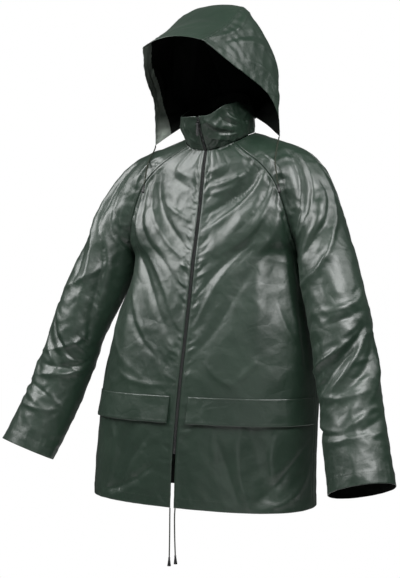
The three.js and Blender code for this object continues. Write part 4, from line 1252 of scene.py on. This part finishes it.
def dress_sleeves(cloth, thread):
    for name, side in SIDES:
        rows = SLEEVE_ROWS
        seam_line = sleeve_surface(rows, np.zeros_like(rows))
        span = length_of(seam_line - sleeve_surface(rows, np.full_like(rows, 0.5)))
        trim = np.where(rows[:, None] < RAGLAN_ROWS, SEAM / 4 / span, 0)
        r, t = np.broadcast_arrays(rows[:, None], trim + (1 - 2 * trim) * np.linspace(0, 1, SLEEVE_COLUMNS))
        grid = sleeve_surface(r, t)
        first, _, gap = edge_gap(grid, SLEEVE_JOIN)
        down, up = column_gap(grid)
        relief = seam(gap) + band(up, CUFF_BAND) + groove(down, 3, 0.8, 2)
        girth = np.mean(np.diff(first, axis=1)) * np.arange(SLEEVE_COLUMNS)
        closed_round = np.broadcast_to(np.abs(girth - girth[-1] / 2), first.shape)
        relief += ripple(up - CUFF_BAND, closed_round, *HEM_RIPPLE, 25)
        relief += ripple(gap - 2, down, *SEAM_RIPPLE, 26)
        pucker_seed, crush_seed = SLEEVE_SEEDS[name]
        creases = SLEEVE_CREASES[name] + all_puckers(np.random.default_rng(pucker_seed), SLEEVE_PUCKERS)
        crush = np.where(rows < 12, 1.1, 0.9)[:, None]
        grid = folded(grid, False, sleeve_surface, SLEEVE_MAIN, creases, wrap_from=SLEEVE_JOIN,
                      crushed=crush, crush_size=40, seed=crush_seed, relief=relief)
        grid = mirror(cuff_drop(grid, r, side), side)
        node = f"sleeve_{name}"
        panel = shell(f"{node}_cloth", grid, side < 0, cloth, [node], join_from=SLEEVE_JOIN)
        edges = [("first", SEAM_STITCH), ("last", SEAM_STITCH), ("foot", CUFF_BAND - 1)]
        sewn = sew(node, grid, edges, thread, slice(0, SLEEVE_JOIN))


COLLAR_ROWS = 46
COLLAR_COLUMNS = 264
# The share of its height by which the collar's edge rises on the wearer's left, in the scene only
COLLAR_RISE = 0.3


def dress_collar(cloth, thread):
    trim = math.degrees(FRONT_EDGE / NECK["half"])
    share, degrees = np.broadcast_arrays(np.linspace(1, 0, COLLAR_ROWS)[:, None],
                                         np.linspace(trim, 360 - trim, COLLAR_COLUMNS))
    drawn_up = COLLAR_RISE * smooth(degrees, 14, 58) * (1 - smooth(degrees, 74, 104))
    grid = collar_surface(degrees, share * (1 + drawn_up))
    first, _, gap = edge_gap(grid)
    down, up = column_gap(grid)
    relief = band(down, 8, 0.5) + groove(up, 2, 0.9, 2.5) + band(gap, 8, 0.5)
    relief += ripple(up - 3, first, *NECK_RIPPLE, 35) + ripple(gap - 6, down, *COLLAR_END_RIPPLE, 36)
    relief += ripple(down - 6, first, *COLLAR_EDGE_RIPPLE, 37)
    crush = np.where(np.abs(degrees - 180) > 60, 1.8, 0.8)
    grid = folded(grid, False, collar_surface, [], COLLAR_CREASES, crushed=crush, crush_size=30, seed=51,
                  relief=relief)
    panel = shell("collar_cloth", grid, False, cloth, ["collar"], thick=CLOTH)
    edges = [("top", 7), ("first", EDGE_STITCH), ("last", EDGE_STITCH), ("foot", 5)]
    sewn = sew("collar", grid, edges, thread)


HOOD_AWAY = CLOTH + SEAM
HOOD_CENTRE_GRID = (170, 66)
HOOD_SIDE_GRID = (96, 120)


def dress_hood_centre(cloth, thread):
    rows = hood_centre_rows()
    last = len(rows["x"]) - 1
    r, u = np.broadcast_arrays(np.linspace(0, last, HOOD_CENTRE_GRID[0])[:, None],
                               np.linspace(1, -1, HOOD_CENTRE_GRID[1]))
    reach = 1 - HOOD_TRIM / stations(rows, r)["x"]
    grid = clear_of_collar(hood_centre_surface(r, u * reach), HOOD_AWAY)
    first, _, gap = edge_gap(grid)
    down, up = column_gap(grid)
    relief = band(down, BRIM_BAND) + seam(gap) + groove(up, 2, 0.5, 2)
    relief += ripple(down - BRIM_BAND, first, *BRIM_RIPPLE, 55) + ripple(gap - 3, down, *SEAM_RIPPLE, 56)
    grid = folded(grid, False, hood_centre_surface, [], HOOD_CENTRE_CREASES, crushed=0.5, crush_size=52,
                  seed=57, relief=relief)
    panel = shell("hood_centre_cloth", grid, False, cloth, ["hood_centre"])
    edges = [("top", BRIM_BAND - 1), ("first", SEAM_STITCH), ("last", SEAM_STITCH)]
    sewn = sew("hood_centre", grid, edges, thread)


# Width of the strip of painted light inside the face opening on the wearer's right: a pale colour standing
# in for light that falls on the hood's inner face there
HOOD_PAINTED_LIGHT = 44


def dress_hood_sides(cloth, thread):
    for name, side in SIDES:
        w, r = np.broadcast_arrays(np.linspace(0, 1, HOOD_SIDE_GRID[0])[:, None],
                                   np.linspace(0, 5, HOOD_SIDE_GRID[1]))
        top = hood_side_surface(r, np.zeros_like(w))
        low = hood_side_surface(r, np.ones_like(w))
        trim = HOOD_TRIM / length_of(top - low)[..., 0]
        grid = hood_side_surface(r, trim + (1 - trim) * w)
        grid[:, -1, 0] += 1.3 * HOOD_TRIM
        grid = clear_of_collar(grid, HOOD_AWAY)
        first, _, _ = edge_gap(grid)
        down, up = column_gap(grid)
        free = smooth(-r, -2.0, -1.8)
        relief = band(first, BRIM_BAND) + seam(down) + free * band(up, BRIM_BAND - 4)
        relief += ripple(first - BRIM_BAND, down, *HOOD_EDGE_RIPPLE, 65)
        relief += ripple(down - 3, first, *HOOD_SEAM_RIPPLE, 66)
        crush = 1.2 if name == "left" else 1.0
        grid = folded(turned(grid), True, hood_side_surface, [], HOOD_CREASES[name], crushed=crush,
                      crush_size=30, seed=HOOD_SEEDS[name], relief=relief.T)
        grid = mirror(turned(grid), side)
        # A strip along the face opening, on the wearer's right only, coloured pale as painted light where
        # light falls inside the hood.
        painted_light_mask = (first < HOOD_PAINTED_LIGHT) & (side < 0)
        node = f"hood_side_{name}"
        panel = shell(f"{node}_cloth", grid, side < 0, cloth, [node], painted_light_mask=painted_light_mask)
        sewn = sew(node, grid, [("first", BRIM_BAND - 1), ("top", SEAM_STITCH)], thread)


# The zip


VENT_TOP_Z = -712
ZIP_TOP_SHARE = 0.97
TAPE = {"reach": 8.5, "outer": -2.6, "thick": 1.0}
TOOTH = {"pitch": 1.7, "length": 3.2, "radius": 0.72, "out": -0.15, "offset": 1.35}


def front_line(count=340):
    """The front's middle line from the vent's top up to the collar's top, and its outward direction."""
    r = np.linspace(0, LAST_STATION, 2000)
    line = sway(body_surface(r, np.zeros_like(r), 1))
    line = line[line[:, 2] > VENT_TOP_Z][::-1]
    share = np.linspace(0, ZIP_TOP_SHARE, 60)[1:]
    line = np.concatenate([line, collar_surface(np.zeros_like(share), share)])
    along = np.concatenate([[0], np.cumsum(np.linalg.norm(np.diff(line, axis=0), axis=1))])
    at = np.linspace(0, along[-1], count)
    line = np.stack([np.interp(at, along, line[:, k]) for k in range(3)], -1)
    up = np.gradient(line, axis=0)
    out = vec(0, -up[:, 2], up[:, 1])
    return line, out / length_of(out)


def dress_zip(tape, plastic):
    line, out = front_line()
    for name, side in SIDES:
        x = np.linspace(SEAM / 2, TAPE["reach"], 10)
        grid = line[:, None] + vec(side * x, 0, 0)[None] + out[:, None] * TAPE["outer"]
        first, _, _ = edge_gap(grid)
        down, _ = column_gap(grid)
        grid = grid + out[:, None] * ripple(first - 4, down, 9, 0.5, 9, 71)[..., None] * 0.5
        strip = shell(f"zip_tape_{name}_woven", grid, side > 0, [tape, tape], [f"zip_tape_{name}"],
                      thick=TAPE["thick"])
    places = []
    for name, side in SIDES:
        centre, _ = even(line + out * TOOTH["out"], TOOTH["pitch"])
        shift = 0 if side > 0 else TOOTH["pitch"] / 2
        places.append(centre + vec(side * TOOTH["offset"], 0, shift))
    places = np.concatenate(places)
    spindles("zip_coil_teeth", places, np.broadcast_to([1.0, 0, 0], places.shape), TOOTH["length"],
             TOOTH["radius"], plastic, ["zip_coil"])


SLIDER = {"share": 0.78, "inner": 0.9, "outer": 4.2, "tall": 11, "top": 4.5, "waist": 3.3, "foot": 3.9,
          "plate": 1.7, "crown": 1.6}
CROWN = [(-1.6, -4), (1.6, -4), (2.2, 0), (1.6, 4), (-1.6, 4), (-2.2, 0)]
EAR = {"radius": 1.5, "thick": 1.0, "gap": 0.1, "foot": 1.3, "sunk": 1.2}
PULL = {"wide": 6, "tall": 27, "thick": 1.6, "knuckle": 1.3, "gap": 0.35}
PULL_REACH = SLIDER["outer"] + PULL["gap"] + PULL["knuckle"]
RIBS_Z = (-13, -16, -19)
RIB = {"half": 2, "thin": 0.5, "proud": 0.3}


def prism(outline, depth):
    """An outline in x and z, extruded along -y from 0 to depth: points and faces."""
    outline = np.asarray(outline, float)
    n = len(outline)
    back = np.stack([outline[:, 0], np.zeros(n), outline[:, 1]], -1)
    return np.concatenate([back, back - [0, depth, 0]]), ring_faces(2, n)


def plate_across(outline, x, thick):
    """An outline in y and z, extruded along x: points and faces."""
    points = np.array([(x + w, y, z) for w in (0, thick) for y, z in outline])
    return points, ring_faces(2, len(outline))


def joined(name, parts, material, nodes, body=COAT, bevel=0.25):
    """One plastic piece from several closed parts, with small rounded edges."""
    vertices = []
    faces = []
    for points, part_faces in parts:
        start = len(vertices)
        vertices.extend(points)
        faces.extend(tuple(start + k for k in face) for face in part_faces)
    obj = link(name, mesh_of(name, vertices, faces), [material], body=body, nodes=nodes)
    edge = obj.modifiers.new("rounded_edges", "BEVEL")
    edge.width = bevel * MM
    edge.segments = 2
    edge.limit_method = "ANGLE"
    obj.modifiers.new("even_shading", "WEIGHTED_NORMAL")
    return obj


def disc(radius, count):
    angle = np.linspace(0, 2 * math.pi, count, endpoint=False)
    return np.stack([radius * np.cos(angle), radius * np.sin(angle)], -1)


def slider_place():
    p = collar_surface(np.zeros(1), np.array([SLIDER["share"]]))[0]
    ends = collar_surface(np.zeros(2), SLIDER["share"] + np.array([-0.1, 0.1]))
    lean = math.atan2(-(ends[1] - ends[0])[1], (ends[1] - ends[0])[2])
    return p, lean


def leaned(points, p, lean):
    """Turns slider points from upright (outward is -y) into the collar's slope, at p."""
    y, z = points[:, 1], points[:, 2]
    turned_y = y * math.cos(lean) - z * math.sin(lean)
    turned_z = y * math.sin(lean) + z * math.cos(lean)
    return p + np.stack([points[:, 0], turned_y, turned_z], -1)


def dress_slider(plastic):
    """The slider: a waisted plate with a crown, and two ears that hold the tab's knuckle."""
    p, lean = slider_place()
    half = SLIDER["tall"] / 2
    top, waist, foot = SLIDER["top"], SLIDER["waist"], SLIDER["foot"]
    shield = [(-foot, -half), (foot, -half), (waist, -1), (top, 2.2),
              (top - 0.8, half), (-top + 0.8, half), (-top, 2.2), (-waist, -1)]
    plate, plate_faces = prism(shield, SLIDER["plate"])
    crown, crown_faces = prism(CROWN, SLIDER["crown"])
    parts = [(plate - [0, SLIDER["inner"], 0], plate_faces),
             (crown - [0, SLIDER["inner"] + SLIDER["plate"], 0], crown_faces)]
    beside = PULL["wide"] / 2 + EAR["gap"]
    edge = EAR["foot"]
    leg = [(-EAR["sunk"], -edge), (-PULL_REACH, -edge), (-PULL_REACH, edge), (-EAR["sunk"], edge)]
    for x in (-beside - EAR["thick"], beside):
        parts.append(plate_across(disc(EAR["radius"], 16) - [PULL_REACH, 0], x, EAR["thick"]))
        parts.append(plate_across(leg, x, EAR["thick"]))
    parts = [(leaned(points, p, lean), faces) for points, faces in parts]
    joined("zip_slider_body", parts, plastic, ["zip_slider"])


def dress_pull(plastic):
    """The pull tab: a knuckle, a tapered neck and a grip with three ribs and a round end."""
    p, lean = slider_place()
    hinge = p - np.array([0, math.cos(lean) * PULL_REACH, math.sin(lean) * PULL_REACH])
    half = PULL["wide"] / 2
    low = -PULL["tall"] + half
    arc = np.linspace(0, -math.pi, 12)
    round_end = [(half * math.cos(a), low + half * math.sin(a)) for a in arc]
    neck = [(-half, -9), (-2.1, -5), (-half + 0.3, 0), (half - 0.3, 0), (2.1, -5), (half, -9)]
    tab, tab_faces = prism([*neck, *round_end][::-1], PULL["thick"])
    parts = [(tab + [0, PULL["thick"] / 2, 0] + hinge, tab_faces)]
    wide, thin = RIB["half"], RIB["thin"]
    for z in RIBS_Z:
        outline = [(-wide, z - thin), (wide, z - thin), (wide, z + thin), (-wide, z + thin)]
        rib, rib_faces = prism(outline, PULL["thick"] + 2 * RIB["proud"])
        parts.append((rib + [0, PULL["thick"] / 2 + RIB["proud"], 0] + hinge, rib_faces))
    knuckle, faces = plate_across(disc(PULL["knuckle"], 20), -half + 0.1, PULL["wide"] - 0.2)
    parts.append((knuckle + hinge, [face[::-1] for face in faces]))
    joined("zip_pull_tab", parts, plastic, ["zip_pull"], body="pull_tab")


# Drawcord ends: the routes of the solids, in metres


CORD_RADIUS = 0.0015
CORD_RING = 0.0006
CORDS = {
    "hood_cord_right": {"length": 0.121, "route": [
        (-0.1593, -0.0024, -0.0139), (-0.158, -0.010, -0.025), (-0.154, -0.046, -0.060),
        (-0.152, -0.060, -0.088), (-0.152, -0.068, -0.112)]},
    "hood_cord_left": {"length": 0.135, "route": [
        (0.1593, -0.0024, -0.0139), (0.1605, -0.010, -0.025), (0.170, -0.048, -0.070),
        (0.179, -0.062, -0.100), (0.186, -0.068, -0.126)]},
    "hem_cord_right": {"length": 0.107, "route": [
        (-0.0265, -0.168, -0.829), (-0.0262, -0.169, -0.850), (-0.0266, -0.169, -0.890),
        (-0.0276, -0.169, -0.936)]},
    "hem_cord_left": {"length": 0.101, "route": [
        (-0.0138, -0.168, -0.829), (-0.0144, -0.169, -0.850), (-0.014, -0.169, -0.890),
        (-0.0126, -0.169, -0.930)]},
}


def braid(ring, angles):
    """A cord's surface as a share of its radius: strands that cross both ways."""
    strands = [np.abs(np.sin(2 * angles + turn * ring)) for turn in (0.5, -0.5)]
    return 1 + 0.09 * (np.maximum(*strands) - 1)


def lathe(origin, direction, profile, sides=28):
    """Points and faces of a profile of (distance, radius) turned round a line."""
    u = np.cross(direction, [0.9, 0.3, 0.2])
    u /= np.linalg.norm(u)
    v = np.cross(direction, u)
    angles = np.linspace(0, 2 * math.pi, sides, endpoint=False)
    ring = np.cos(angles)[:, None] * u + np.sin(angles)[:, None] * v
    points = np.concatenate([origin + direction * d + ring * radius for d, radius in profile])
    return points, ring_faces(len(profile), sides)


# The flared end's profile: distance from the cord's end, and radius
END_PROFILE = [(0.3, 1.7), (0.6, 2.2), (6.5, 2.2), (7.2, 2.5), (13, 3.2), (18.2, 3.95), (19.0, 4.0),
               (19.3, 3.7), (19.0, 3.3), (16.5, 2.9)]


def dress_cords(cord_look, plastic):
    for name, facts in CORDS.items():
        route = np.array(facts["route"])
        fine = through(route / MM, np.linspace(0, 1, int(facts["length"] / CORD_RING)))
        points, faces = tube(fine, np.full(len(fine), CORD_RADIUS / MM), 12, braid)
        mesh = mesh_of(f"{name}_braid", points, faces)
        cord = link(f"{name}_braid", mesh, [cord_look], nodes=[name])
        direction = fine[-1] - fine[-4]
        direction /= np.linalg.norm(direction)
        end_node = name.replace("cord", "cord_end")
        mesh = mesh_of(end_node, *lathe(fine[-1], direction, END_PROFILE))
        end = link(f"{end_node}_bell", mesh, [plastic], nodes=[end_node])


# The scene


make_camera()
dress_cords(woven_material("olive_cord", (0.010, 0.014, 0.007), (0.026, 0.033, 0.017), 0.8, 0.0011, 0.0002),
            plastic_material())
make_lights()
make_floor()
# The second look, for every inner face, is near black: painted shade.
CLOTH_LOOKS = [shell_material(), painted_shade_inside_material()]
THREAD = woven_material("dark_thread", (0.02, 0.03, 0.022), (0.03, 0.045, 0.033), 0.6, 0.0006, 0.00005)
dress_fronts(CLOTH_LOOKS, THREAD)
dress_back(CLOTH_LOOKS, THREAD)
dress_sleeves(CLOTH_LOOKS, THREAD)
dress_collar(CLOTH_LOOKS, THREAD)
dress_hood_centre(CLOTH_LOOKS, THREAD)
# The third look is a pale colour on the hood's inner face by the opening: painted light.
dress_hood_sides([*CLOTH_LOOKS, painted_light_material()], THREAD)
ZIP_PLASTIC = plastic_material()
dress_zip(woven_material("zip_tape", (0.014, 0.022, 0.017), (0.024, 0.034, 0.027), 0.7, 0.0009, 0.0002),
          ZIP_PLASTIC)
dress_slider(ZIP_PLASTIC)
dress_pull(ZIP_PLASTIC)
